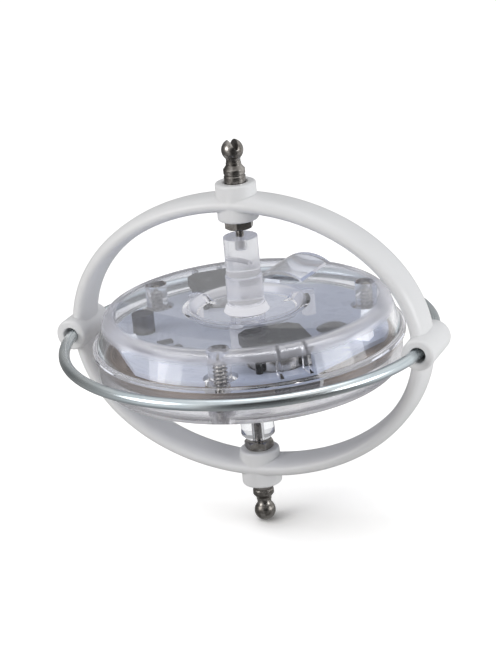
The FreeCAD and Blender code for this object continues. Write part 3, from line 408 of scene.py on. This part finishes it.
def make_object(name, vertices, faces, uv=None):
    """Puts an array of points and an array of faces into a mesh object, in metres, faces outwards."""
    mesh = bpy.data.meshes.new(name)
    mesh.from_pydata(np.asarray(vertices) * MM, [], faces)
    if uv is not None:
        layer = mesh.uv_layers.new(name="UVMap")
        corners = np.empty(len(mesh.loops), np.int32)
        mesh.loops.foreach_get("vertex_index", corners)
        layer.data.foreach_set("uv", np.asarray(uv)[corners].ravel())
    made = bpy.data.objects.new(name, mesh)
    bpy.context.scene.collection.objects.link(made)
    clean(made)
    return made


def clean(made, merge=1e-7):
    """Merges doubles, turns faces outwards, and shades smooth up to a sharp angle."""
    work = bmesh.new()
    work.from_mesh(made.data)
    bmesh.ops.remove_doubles(work, verts=work.verts, dist=merge)
    bmesh.ops.dissolve_degenerate(work, edges=work.edges, dist=merge)
    bmesh.ops.recalc_face_normals(work, faces=work.faces)
    work.to_mesh(made.data)
    work.free()
    made.data.shade_smooth()
    made.data.set_sharp_from_angle(angle=SHARP)
    made.data.update()


def grid_faces(rows, columns, wrap_rows, wrap_columns):
    """Four-cornered faces of a grid whose rows or columns may close on themselves."""
    row = np.arange(rows if wrap_rows else rows - 1)[:, None]
    column = np.arange(columns if wrap_columns else columns - 1)[None]
    next_row, next_column = (row + 1) % rows, (column + 1) % columns
    corners = np.stack([row * columns + column, next_row * columns + column,
                        next_row * columns + next_column, row * columns + next_column], axis=-1)
    return corners.reshape(-1, 4)


def lathe(name, outline, centre=(0.0, 0.0), count=180, flip=1.0):
    """Turned piece: outline point (r, z) at turn t goes to (r cos t, r sin t, z) beside the centre, with
    z up from the middle plane, or down where flip is -1."""
    turns = round_turns(count)
    reach, height = outline[:, 0][:, None], outline[:, 1][:, None]
    points = np.stack([reach * np.cos(turns) + centre[0], reach * np.sin(turns) + centre[1],
                       height * flip + MIDDLE + turns * 0], axis=-1).reshape(-1, 3)
    return make_object(name, points, grid_faces(len(outline), count, True, True))


def column(name, radius, low, high, centre, count=64):
    """Round column that stands beside the rotor's axis."""
    return lathe(name, np.array([(0, low), (radius, low), (radius, high), (0, high)]), centre, count)


def prism(name, outline, low, high, axis="z", turn=0.0, shift=(0.0, 0.0, 0.0)):
    """Straight prism over a flat outline, for joining and cutting.

    Along z, outline point (x, y) goes to (x, y, low or high). Along y it goes to (x, low or high, y).
    The prism is then turned about Z and shifted."""
    count = len(outline)
    ends = []
    for level in (low, high):
        fill = np.full(count, level)
        flat = (outline[:, 0], outline[:, 1], fill) if axis == "z" else (outline[:, 0], fill, outline[:, 1])
        ends.append(np.stack(flat, axis=1))
    points = np.concatenate(ends)
    c, s = math.cos(math.radians(turn)), math.sin(math.radians(turn))
    points = points @ np.array([[c, s, 0], [-s, c, 0], [0, 0, 1]]) + np.array(shift)
    index = np.arange(count)
    sides = np.stack([index, (index + 1) % count, (index + 1) % count + count, index + count], axis=1)
    faces = sides.tolist() + [list(range(count)), list(range(count, 2 * count))]
    return make_object(name, points, faces)


def circle(radius, centre=(0.0, 0.0), count=64):
    turns = round_turns(count)
    return np.stack([radius * np.cos(turns) + centre[0], radius * np.sin(turns) + centre[1]], axis=1)


def at_turn(reach, degrees):
    """Point (x, y) at a distance from the axis and a turn from the X axis."""
    return reach * math.cos(math.radians(degrees)), reach * math.sin(math.radians(degrees))


def combine(base, others, operation):
    """Joins or cuts solids with the exact solver, keeps the result in base and removes the others."""
    for other in others:
        step = base.modifiers.new("combine", "BOOLEAN")
        step.operation = operation
        step.solver = "EXACT"
        step.object = other
    graph = bpy.context.evaluated_depsgraph_get()
    result = bpy.data.meshes.new_from_object(base.evaluated_get(graph))
    base.modifiers.clear()
    old = base.data
    base.data = result
    bpy.data.meshes.remove(old)
    for other in others:
        spent = other.data
        bpy.data.objects.remove(other)
        bpy.data.meshes.remove(spent)
    clean(base, 2e-7)
    return base


def finish(made, material, body, node):
    """Gives a new piece its material and its body, and hides the CAD node that it stands for."""
    made.data.materials.clear()
    made.data.materials.append(material)
    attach(made, body)
    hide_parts(node)


# ---------------------------------------------------------------- white oval frame and wire hoop

RING_WIDE, RING_HIGH = 38.5, 29.45                          # half axes of the band's middle line
BAND, THICK = 9.0, 3.6                                      # section of the band
BOSS, SEAT_RADIUS, SEAT = 4.3, 2.55, 0.3                    # axle boss, and the stud's seat in it
BOSS_IN, BOSS_OUT = RING_HIGH - 3.75, RING_HIGH + 4.25      # ends of the axle boss
TUBE, TUBE_BORE, TUBE_REACH = 3.4, 1.65, 6.35               # tube bosses that hold the hoop
HOOP, WIRE = RING_WIDE + 0.7, 1.18                          # radii of the hoop and of its wire


def oval_band():
    """Band of the frame: a rounded, slightly crowned bar carried round an ellipse.

    At turn t the middle is (A cos t, 0, B sin t). The bar's section point (p, q) moves p along the
    ellipse's outward normal and q along Y. The section is a superellipse of high power."""
    turns = round_turns(256)
    around = round_turns(64) + 0.01
    power_thick, power_wide = 2.0 / 1.95, 2.0 / 3.2
    p = THICK / 2 * np.sign(np.cos(around)) * np.abs(np.cos(around)) ** power_thick
    q = BAND / 2 * np.sign(np.sin(around)) * np.abs(np.sin(around)) ** power_wide
    middle_x, middle_z = RING_WIDE * np.cos(turns), RING_HIGH * np.sin(turns)
    normal_x, normal_z = np.cos(turns) / RING_WIDE, np.sin(turns) / RING_HIGH
    size = np.hypot(normal_x, normal_z)
    normal_x, normal_z = normal_x / size, normal_z / size
    points = np.stack([middle_x[:, None] + normal_x[:, None] * p,
                       np.broadcast_to(q, (len(turns), len(around))),
                       MIDDLE + middle_z[:, None] + normal_z[:, None] * p], axis=-1)
    return make_object("oval_frame", points.reshape(-1, 3), grid_faces(len(turns), len(around), True, True))


def tube_boss(side):
    """Tube boss along Y: the rounded outline of a thick-walled tube, turned about the Y axis."""
    outline = rounded([(TUBE_BORE, -TUBE_REACH, 0.25), (TUBE, -TUBE_REACH, 0.6),
                       (TUBE, TUBE_REACH, 0.6), (TUBE_BORE, TUBE_REACH, 0.25)])
    turns = round_turns(96)
    reach, along = outline[:, 0][:, None], outline[:, 1][:, None]
    points = np.stack([side * HOOP + reach * np.cos(turns), along + turns * 0,
                       MIDDLE + reach * np.sin(turns)], axis=-1).reshape(-1, 3)
    return make_object("tube_boss", points, grid_faces(len(outline), len(turns), True, True))


def oval_frame():
    """The white frame: band, axle bosses with their bores, and tube bosses, joined to one solid."""
    bore, low, high = 1.56, BOSS_IN - 1.0, BOSS_OUT + 1.0
    core, core_reach = TUBE - 0.1, 4.6
    seat = BOSS_OUT - SEAT
    bosses, bores = [], []
    for flip in (1.0, -1.0):
        edge = [(0.0, BOSS_IN, 0), (BOSS, BOSS_IN, 0.45), (BOSS, BOSS_OUT, 0.45), (SEAT_RADIUS, BOSS_OUT, 0.12),
                (SEAT_RADIUS, seat, 0), (0.0, seat, 0)]
        bosses.append(lathe("axle_boss", rounded(edge), count=96, flip=flip))
        hole = np.array([(0.0, low), (bore, low), (bore, high), (0.0, high)])
        bores.append(lathe("axle_bore", hole, count=64, flip=flip))
    cores = [prism("tube_core", circle(core, (side * HOOP, MIDDLE), 96), -core_reach, core_reach, "y")
             for side in (1, -1)]
    made = combine(oval_band(), cores, "DIFFERENCE")
    made = combine(made, bosses, "UNION")
    made = combine(made, bores, "DIFFERENCE")
    return combine(made, [tube_boss(side) for side in (1, -1)], "UNION")


def wire_hoop():
    """Wire bent into a circle: at turn t and angle a round the wire, the reach is R + w cos a and the
    height w sin a. Its two ends nearly meet inside the right tube boss."""
    joint_gap = 0.2
    turns = np.linspace(0, FULL_TURN - joint_gap / HOOP, 361)
    around = round_turns(32)
    reach = HOOP + WIRE * np.cos(around)
    points = np.stack([np.cos(turns)[:, None] * reach, np.sin(turns)[:, None] * reach,
                       MIDDLE + WIRE * np.sin(around) + turns[:, None] * 0], axis=-1).reshape(-1, 3)
    faces = grid_faces(len(turns), len(around), False, True).tolist()
    last = (len(turns) - 1) * len(around)
    faces += [list(range(len(around))), list(range(last, last + len(around)))]
    uv = np.stack(np.broadcast_arrays(turns[:, None], around[None] / FULL_TURN), axis=-1).reshape(-1, 2)
    return make_object("zinc_hoop", points, faces, uv)


# ---------------------------------------------------------------- steel studs and nuts

PIN, THREAD, COLLAR, NECK, BALL = 0.8, 1.5, 2.27, 1.55, 2.3     # radii along a stud
NUT_FLATS, NUT_TALL = 5.5, 1.9


def stud_outline():
    """Half outline (reach, height) of a stud from its pointed pin to the top of its ball, and the
    height of the ball's middle."""
    nut_in = BOSS_IN - NUT_TALL
    pin_end = nut_in - 4.35
    core, groove, shoulder, waist = 1.2, 2.12, 1.62, 1.48
    seat = BOSS_OUT - SEAT
    neck_start = BOSS_OUT + 3.6
    neck_end = neck_start + 0.95
    centre = neck_start + 3.15
    stem = rounded([
        (0.0, pin_end, 0), (0.3, pin_end, 0.08), (PIN, pin_end + 0.45, 0.15), (PIN, nut_in, 0.12),
        (core, nut_in, 0.08), (THREAD, nut_in + 0.3, 0.1), (THREAD, seat - 0.2, 0.05),
        (THREAD, seat + 0.01, 0.05), (COLLAR, seat + 0.01, 0.12), (COLLAR, BOSS_OUT + 1.25, 0.1),
        (groove, BOSS_OUT + 1.42, 0.08), (groove, BOSS_OUT + 1.62, 0.08), (COLLAR, BOSS_OUT + 1.8, 0.1),
        (COLLAR, BOSS_OUT + 2.75, 0.10), (shoulder, neck_start, 0.08), (shoulder, neck_start + 0.5, 0.06),
        (waist, neck_start + 0.64, 0.06), (NECK, neck_end, 0.06), (0.0, neck_end, 0)], 5)[:-1]
    low = -math.asin(math.sqrt(BALL ** 2 - NECK ** 2) / BALL)
    angles = np.linspace(low + 0.03, math.pi / 2, 26)
    cap = np.stack([BALL * np.cos(angles), centre + BALL * np.sin(angles)], axis=1)
    cap[-1, 0] = 0.0
    return np.concatenate([stem, cap]), centre


def studs():
    """Upper stud with a V notch for a string across its ball, and the lower stud with a whole ball."""
    outline, centre = stud_outline()
    foot, foot_half, mouth, mouth_half, length = centre + 0.35, 0.35, centre + 3.3, 1.16, 4.0
    upper = lathe("slotted_stud", outline, count=96)
    notch = np.array([(-foot_half, foot), (foot_half, foot), (mouth_half, mouth), (-mouth_half, mouth)])
    slot = prism("notch", notch, -length, length, "y", turn=45.0, shift=(0, 0, MIDDLE))
    upper = combine(upper, [slot], "DIFFERENCE")
    lower = lathe("ball_stud", outline, count=96, flip=-1.0)
    return upper, lower


def hex_nut(name, flip):
    """Hexagon nut: at turn t and height z the outer reach is the lesser of the hexagon, flats / 2 over
    the cosine of the turn from the nearest flat, and the cone that chamfers the corners. The bore
    widens in a short lead at both ends."""
    bore, lead = 1.55, 0.25
    cone_in, cone_slope, cone_tall, clear_of_cone = 0.06, 1.45, 0.45, 0.5
    half_side = math.pi / 6
    turns = round_turns(216)
    from_flat = (turns + half_side) % (2 * half_side) - half_side
    hexagon = NUT_FLATS / 2 / np.cos(from_flat)
    heights = np.concatenate([np.linspace(0, cone_tall, 8),
                              np.linspace(clear_of_cone, NUT_TALL - clear_of_cone, 5),
                              np.linspace(NUT_TALL - cone_tall, NUT_TALL, 8)])
    edge = np.minimum(heights, NUT_TALL - heights)[:, None]
    outer = np.minimum(hexagon, NUT_FLATS / 2 - cone_in + edge * cone_slope)
    inner = (bore + np.maximum(0, lead - edge))[::-1] + 0 * turns
    reach = np.concatenate([outer, inner])
    height = np.concatenate([heights, heights[::-1]])[:, None] + 0 * turns
    swing = turns + math.radians(75.0) * flip
    points = np.stack([reach * np.cos(swing), reach * np.sin(swing),
                       MIDDLE + flip * (BOSS_IN - NUT_TALL + height)], axis=-1)
    return make_object(name, points.reshape(-1, 3), grid_faces(len(reach), len(turns), True, True))


# ---------------------------------------------------------------- clear rotor

HUB, BORE, REACH, PLUG = 3.92, 2.5, 13.65, 7.65         # hub tube: radius, bore, its end, the bore's end
RECESS, DECK, FLOOR, FOOT = 12.0, 7.5, 5.8, 4.6         # lip and levels of the recess, foot of the hub
WALL_IN, WALL_OUT, FLANGE = 30.8, 32.3, 33.1            # radii of the case wall and its flange
FLANGE_TALL, SPLIT = 0.75, 0.02                         # flange, and half of the gap between the shells
SCREW, SCREW_TURN, SCREW_HEAD = 26.8, -80.0, 1.95
POST, POST_TURN, POST_RADIUS = 14.0, -76.0, 1.5
PACK_TURN, HOOD_TURN = -52.0, 83.0
UPPER_CAP_END = BOSS_IN - NUT_TALL - 1.8                # each cap ends short of its lock nut
LOWER_CAP_END = BOSS_IN - NUT_TALL - 0.6


def upper_shell():
    """Upper half of the clear case: deck with recess and hub, screw pillars, posts, curved webs on the
    wall of the recess, ribs beside the cell packs, and the hollow hood."""
    hub_low, deck_under, recess_under = -0.28, DECK - 1.5, FLOOR - 1.4
    joint = 6.7                 # height inside the deck's plate at which pieces are joined to it
    outline = rounded([
        (BORE, hub_low, 0.1), (HUB, hub_low, 0.1), (HUB, recess_under, 0.4), (RECESS - 0.2, recess_under, 0.6),
        (RECESS + 1.5, deck_under, 0.3), (29.05, deck_under, 1.2), (WALL_IN, SPLIT, 0.1), (FLANGE, SPLIT, 0.12),
        (FLANGE, FLANGE_TALL, 0.3), (WALL_OUT, FLANGE_TALL, 0.35), (30.05, DECK, 1.9), (RECESS, DECK, 0.6),
        (RECESS - 1.7, FLOOR, 0.8), (FOOT, FLOOR, 0.15), (FOOT - 0.15, FLOOR + 0.9, 0.3),
        (HUB, FLOOR + 1.7, 0.35), (HUB, REACH, 0.25), (0.0, REACH, 0), (0.0, PLUG, 0), (BORE, PLUG, 0.1)])
    shell = lathe("clear_upper_shell", outline)
    adds = []
    for third in THIRDS:
        adds.append(column("pillar", 2.35, hub_low, joint, at_turn(SCREW, SCREW_TURN + third)))
        adds.append(column("post", POST_RADIUS, 0.9, joint - 0.1, at_turn(POST, POST_TURN + third), 48))
        adds.append(web(POST_TURN + third))
    low, top_reach, rib_spread, rib_half = 0.9, 29.7, 5.75, 0.4
    rib = np.array([(27.2, low), (30.95, low), (top_reach, joint), (27.2, joint)])
    for turn in (PACK_TURN + 2.25, PACK_TURN + 182.25):
        for spread in (rib_spread, -rib_spread):
            adds.append(prism("rib", rib, -rib_half, rib_half, "y", turn=turn + spread, shift=(0, 0, MIDDLE)))
    adds.append(hood_solid(5.6, 1.9, 14.6, 28.2, joint))
    shell = combine(shell, adds, "UNION")
    return combine(shell, [hood_solid(4.6, 0.9, 15.6, 27.2, 5.0)], "DIFFERENCE")


def web(turn):
    """Low gusset on the wall of the recess: its edge sags below the straight line by four times the
    sag times s (1 - s), at share s of the way out."""
    start, run, rise, sag, half = 7.9, 2.7, 1.45, 0.5, 0.45
    wall_end = RECESS + 0.6
    span = np.linspace(0, 1, 12)
    slope = FLOOR + 0.1 + rise * span - 4 * sag * span * (1 - span)
    outline = np.concatenate([np.stack([start + run * span, slope], axis=1),
                              [(wall_end, DECK - 0.15), (wall_end, FLOOR - 0.7), (start, FLOOR - 0.7)]])
    return prism("web", outline, -half, half, "y", turn=turn, shift=(0, 0, MIDDLE))


def hood_solid(half, rise, near, far, base):
    """Arched bar along a radius, from near to far: a circle's arc of a given half width and rise over
    straight sides that go down to base."""
    radius = (half * half + rise * rise) / (2 * rise)
    across = np.linspace(half, -half, 25)
    arc = np.sqrt(radius ** 2 - across ** 2) - (radius - rise) + DECK
    outline = np.concatenate([[(-half, base), (half, base)], np.stack([across, arc], axis=1)])
    return prism("hood", outline, near, far, "y", turn=HOOD_TURN - 90.0, shift=(0, 0, MIDDLE))


def lower_shell():
    """Lower half of the clear case: hub tube, ledge that carries the weight ring, and screw pillars
    with the recesses of the screws' heads."""
    hub_high, inside, step, base, ledge = -0.32, -6.5, -7.5, -8.0, -2.75
    ring_wall = 29.6
    outline = rounded([
        (BORE, -PLUG, 0.1), (0.0, -PLUG, 0), (0.0, -REACH, 0), (HUB, -REACH, 0.25), (HUB, step, 0.3),
        (RECESS, step, 0.15), (RECESS, base, 0.2), (WALL_OUT - 0.15, base, 2.9), (WALL_OUT, -FLANGE_TALL, 0.35),
        (FLANGE, -FLANGE_TALL, 0.3), (FLANGE, -SPLIT, 0.12), (WALL_IN, -SPLIT, 0.1), (WALL_IN, ledge, 0.1),
        (ring_wall, ledge, 0.15), (ring_wall, inside, 0.9), (HUB, inside, 0.4), (HUB, hub_high, 0.1),
        (BORE, hub_high, 0.1)])
    shell = lathe("clear_lower_shell", outline)
    pillars, holes = [], []
    for third in THIRDS:
        centre = at_turn(SCREW, SCREW_TURN + third)
        pillars.append(column("lower_pillar", 2.9, -7.2, hub_high, centre))
        holes.append(column("screw_hole", SCREW_HEAD + 0.25, base - 1.0, -5.4, centre, 48))
    shell = combine(shell, pillars, "UNION")
    return combine(shell, holes, "DIFFERENCE")


def axle_cap(name, end, flip, chamfered, cross_hole):
    """Clear cap on the end of the hub, with a blind bearing bore that ends in a shallow cone. The upper
    cap has the cross hole for a pull string, and the lower one a chamfer. The plug under the cap is one
    with the hub tube here, because clear plastic pressed into clear plastic shows no wall between."""
    radius, bore, bore_end, tip_end, chamfer = 3.65, 0.85, 19.3, 19.1, 0.9
    hole_radius, hole_below_end, past = 0.5, 5.15, 5.0
    start = REACH + 0.03
    corner = [(radius, end, 0.18)]
    if chamfered:
        corner = [(radius, end - chamfer, 0.2), (radius - chamfer, end, 0.2)]
    outline = [(0.0, start, 0), (radius, start, 0.2), *corner,
               (bore, end, 0.12), (bore, bore_end, 0.2), (0.0, tip_end, 0)]
    made = lathe(name, rounded(outline, 5), count=128, flip=flip)
    if cross_hole:
        section = circle(hole_radius, (0.0, MIDDLE + end - hole_below_end), 48)
        made = combine(made, [prism("string_hole", section, -past, past, "y", turn=48.0)], "DIFFERENCE")
    return made


def case_screw(third):
    """Screw of a case pillar: its thread adds a ridge to the core where the height, less the pitch
    times the turn, is near a whole number of pitches, and the thread fades out at the tip. The head
    has a cross for the driver."""
    turn = SCREW_TURN + third
    centre = at_turn(SCREW, turn)
    pitch, core, crest, ridge_share = 0.8, 0.82, 1.05, 0.62
    thread_start, tip = -5.35, 5.0
    head_low, head_high = -6.8, -5.45
    turns = round_turns(32)
    heights = np.linspace(thread_start, tip, 208)
    phase = (heights[:, None] / pitch - turns / FULL_TURN) % 1.0
    ridge = np.clip(1 - np.abs(phase - 0.5) * 2 / ridge_share, 0, 1)
    fade = np.clip((tip - heights) / pitch, 0.35, 1)[:, None]
    head = [(0.0, head_low), (SCREW_HEAD - 0.2, head_low), (SCREW_HEAD, head_low + 0.2),
            (SCREW_HEAD, head_high), (SCREW_HEAD - 0.1, head_high + 0.07)]
    reach = np.concatenate([[np.full_like(turns, radius) for radius, _ in head],
                            (core + (crest - core) * ridge) * fade, [np.zeros_like(turns)]])
    height = np.concatenate([[level for _, level in head], heights, [tip + 0.4]])[:, None] + 0 * turns
    points = np.stack([reach * np.cos(turns) + centre[0], reach * np.sin(turns) + centre[1],
                       MIDDLE + height], axis=-1).reshape(-1, 3)
    made = make_object("case_screw", points, grid_faces(len(reach), len(turns), False, True))
    half_long, half_wide = 1.15, 0.25
    bar = np.array([(-half_long, -half_wide), (half_long, -half_wide),
                    (half_long, half_wide), (-half_long, half_wide)])
    bars = [prism("drive", bar, MIDDLE + head_low - 1.2, MIDDLE + head_low + 0.7, "z", turn=turn + swing,
                  shift=(*centre, 0.0)) for swing in (0.0, 90.0)]
    return combine(made, bars, "DIFFERENCE")


def join(name, objects):
    """Puts several meshes into one object."""
    work = bmesh.new()
    for item in objects:
        work.from_mesh(item.data)
    mesh = bpy.data.meshes.new(name)
    work.to_mesh(mesh)
    work.free()
    for item in objects:
        spent = item.data
        bpy.data.objects.remove(item)
        bpy.data.meshes.remove(spent)
    made = bpy.data.objects.new(name, mesh)
    bpy.context.scene.collection.objects.link(made)
    mesh.shade_smooth()
    mesh.set_sharp_from_angle(angle=SHARP)
    return made


# ---------------------------------------------------------------- dressing

def dress_node(node, material):
    """Gives a CAD node, which keeps its shape, its material."""
    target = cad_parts[node]
    target.data.materials.clear()
    target.data.materials.append(material)


white = white_plastic()
clear = clear_plastic("clear_shell", (0.965, 0.965, 0.975), (0.74, 0.76, 0.81), 0.04)
axle_tint = (0.80, 0.81, 0.825)
clear_axle = clear_plastic("clear_axle", axle_tint, axle_tint, 0.03)
zinc = zinc_wire()
stud_steel = turned_steel("stud_steel", (0.38, 0.36, 0.34), (0.13, 0.120, 0.110), 0.25, 9000.0)
nut_steel = turned_steel("nut_steel", (0.46, 0.44, 0.42), (0.22, 0.205, 0.19), 0.14, 5000.0)
screw_steel = plated("screw_steel", (0.52, 0.50, 0.46), (0.20, 0.19, 0.18), 0.26)
bronze = weight_bronze()
mask = board_mask()
black = dark_plastic("holder_black", (0.008, 0.009, 0.009), 0.55, 0.5)
resin = dark_plastic("chip_resin", (0.018, 0.018, 0.020), 0.20)
ceramic = dark_plastic("resistor_black", (0.04, 0.04, 0.045), 0.35)
cell = plated("cell_nickel", (0.80, 0.77, 0.72), (0.52, 0.49, 0.44), 0.20)
brass = plated("contact_bronze", (0.72, 0.58, 0.36), (0.48, 0.38, 0.24), 0.25)
can = plated("switch_can_metal", (0.11, 0.11, 0.13), (0.05, 0.05, 0.06), 0.35)
ball_metal = plated("contact_ball_metal", (0.85, 0.85, 0.86), (0.60, 0.60, 0.62), 0.10)
lamp = lamp_case()

finish(oval_frame(), white, "frame", "ring_frame")
finish(wire_hoop(), zinc, "frame", "wire_hoop")
upper_stud, lower_stud = studs()
finish(upper_stud, stud_steel, "frame", "upper_stud")
finish(lower_stud, stud_steel, "frame", "lower_stud")
finish(hex_nut("upper_hex_nut", 1.0), nut_steel, "frame", "upper_lock_nut")
finish(hex_nut("lower_hex_nut", -1.0), nut_steel, "frame", "lower_lock_nut")
finish(upper_shell(), clear, "rotor", "rotor_upper_shell")
finish(lower_shell(), clear, "rotor", "rotor_lower_shell")
upper_cap = axle_cap("clear_upper_cap", UPPER_CAP_END, 1.0, chamfered=False, cross_hole=True)
lower_cap = axle_cap("clear_lower_cap", LOWER_CAP_END, -1.0, chamfered=True, cross_hole=False)
finish(upper_cap, clear_axle, "rotor", "upper_axle_cap")
finish(lower_cap, clear_axle, "rotor", "lower_axle_cap")
finish(join("case_screws", [case_screw(third) for third in THIRDS]), screw_steel, "rotor",
       "rotor_screws")

for node, material in {
        "weight_ring": bronze, "circuit_board": mask, "cell_holder_front": black, "cell_holder_rear": black,
        "button_cells_front": cell, "button_cells_rear": cell, "upper_contacts": brass,
        "lower_contacts": brass, "lamps": lamp, "resistors": ceramic, "controller_chip": resin,
        "spin_switch_base": black, "spin_switch_can": can, "spin_switch_ball": ball_metal}.items():
    dress_node(node, material)


# ---------------------------------------------------------------- floor, light and camera

def room_sides(x, y, at_back, at_front):
    """Brightness of the room that polished parts mirror, in the level direction (x, y): white at the
    sides, a little dimmer at the back and at the left, and dark at the front, from where it is seen."""
    front_x, front_y, left = 0.627, -0.779, 0.35
    facing = x * front_x + y * front_y
    return (facing.ramp(-0.9, -0.3, at_back, 1.0) * facing.ramp(0.58, 0.88, 1.0, at_front)
            * x.ramp(-1.0, -0.5, left, 1.0))


def surround():
    """White surround: full white straight and through clear parts, and a soft fill for plain surfaces.
    Polished parts mirror it white overhead and at the sides, and the dark room in front of it."""
    scene = bpy.context.scene
    scene.view_settings.view_transform = "Standard"
    scene.world = bpy.data.worlds.new("soft_studio")
    made = Sheet(scene.world, "ShaderNodeOutputWorld")
    x, y, height = made.parts(made.node("ShaderNodeTexCoord", output="Generated"))
    seen, mirrored = made.seen_and_mirrored()
    plain = 1.0 - (seen + mirrored).math("MINIMUM", 1.0)
    sides = room_sides(x, y, 0.42, 0.05)
    overhead = height.ramp(0.50, 0.90)
    room = sides * (1.0 - overhead) + overhead
    strength = seen + mirrored * room + plain * 0.43
    made.show(made.node("ShaderNodeBackground", inputs={"Color": (1.0, 1.0, 1.0), "Strength": strength}))


def studio_floor():
    """Floor that looks white in the light and keeps the part's shadow. A normal that leans to the left
    and the front draws the contact shadow to the right. Polished parts mirror the floor grey under
    the part and as the room's sides farther off."""
    bpy.ops.mesh.primitive_plane_add(size=1.6, location=(0, 0, 0))
    floor = bpy.context.active_object
    floor.name = "studio_floor"
    made = Recipe("studio_floor", Roughness=0.9, Specular_IOR_Level=0.0)
    made.feed("Base Color", (0.70, 0.69, 0.68))
    lean = made.node("ShaderNodeCombineXYZ", inputs={"X": -0.55, "Y": -0.24, "Z": 0.80})
    near = made.node("ShaderNodeAmbientOcclusion", {"samples": 8}, {"Distance": 0.034, "Normal": lean}, output="AO")
    glow = made.node("ShaderNodeEmission", inputs={
        "Color": made.blend(near.ramp(0.44, 0.97), (0.0, 0.0, 0.0), (1.0, 1.0, 1.0)), "Strength": 0.75})
    glowing = made.node("ShaderNodeAddShader", inputs={0: made.surface, 1: glow})
    x, y, _ = made.parts(made.place())
    reach = made.radius(x, y) + 0.0001
    sides = room_sides(x / reach, y / reach, 0.5, 0.12)
    level = made.blend(reach.ramp(0.04, 0.12), (0.34, 0.34, 0.34), made.node(
        "ShaderNodeCombineColor", inputs={"Red": sides, "Green": sides, "Blue": sides}))
    dimmed = made.node("ShaderNodeEmission", inputs={"Color": level, "Strength": 1.0})
    seen, mirrored = made.seen_and_mirrored()
    made.show(made.mix(mirrored, made.mix(seen, made.surface, glowing), dimmed))
    floor.data.materials.append(made.material)


def lamps():
    """Three round soft lamps that point at the part's middle: place, size, power and tint."""
    for name, place, size, power, tint in (
            ("left_lamp", (-0.36, -0.42, 0.28), 0.35, 1.38, (1.0, 0.99, 0.98)),
            ("right_lamp", (0.62, -0.05, 0.14), 0.35, 1.60, (0.97, 0.985, 1.0)),
            ("top_lamp", (0.05, 0.12, 0.65), 0.45, 0.6, (0.93, 0.96, 1.0))):
        light = bpy.data.lights.new(name, "AREA")
        light.shape = "DISK"
        light.size = size
        light.energy = power
        light.color = tint
        lamp_object = bpy.data.objects.new(name, light)
        bpy.context.scene.collection.objects.link(lamp_object)
        lamp_object.location = place
        aim = Vector((0, 0, MIDDLE * MM)) - Vector(place)
        lamp_object.rotation_euler = aim.to_track_quat("-Z", "Y").to_euler()


def camera():
    """Camera on a ring about the part: azimuth 0 looks along +Y, and the roll leans the picture."""
    azimuth, elevation, roll = (math.radians(v) for v in (23.81, 19.67, -5.26))
    distance, aim_height, aim_side = 436.3, 43.42, -0.20
    focal_pixels, picture_pixels, sensor = 2067.0, 496.0, 36.0
    back = Vector((math.sin(azimuth) * math.cos(elevation), -math.cos(azimuth) * math.cos(elevation),
                   math.sin(elevation)))
    right = Vector((math.cos(azimuth), math.sin(azimuth), 0.0))
    up = back.cross(right)
    leaned_right = right * math.cos(roll) + up * math.sin(roll)
    leaned_up = up * math.cos(roll) - right * math.sin(roll)
    data = bpy.data.cameras.new("camera")
    data.sensor_fit = "HORIZONTAL"
    data.sensor_width = sensor
    data.lens = focal_pixels / picture_pixels * sensor
    data.clip_start, data.clip_end = 0.01, 10.0
    made = bpy.data.objects.new("camera", data)
    bpy.context.scene.collection.objects.link(made)
    place = (Vector((0, 0, aim_height)) + right * aim_side + back * distance) * MM
    basis = Matrix((leaned_right, leaned_up, back)).transposed().to_4x4()
    made.matrix_world = Matrix.Translation(place) @ basis
    bpy.context.scene.camera = made


surround()
studio_floor()
lamps()
camera()
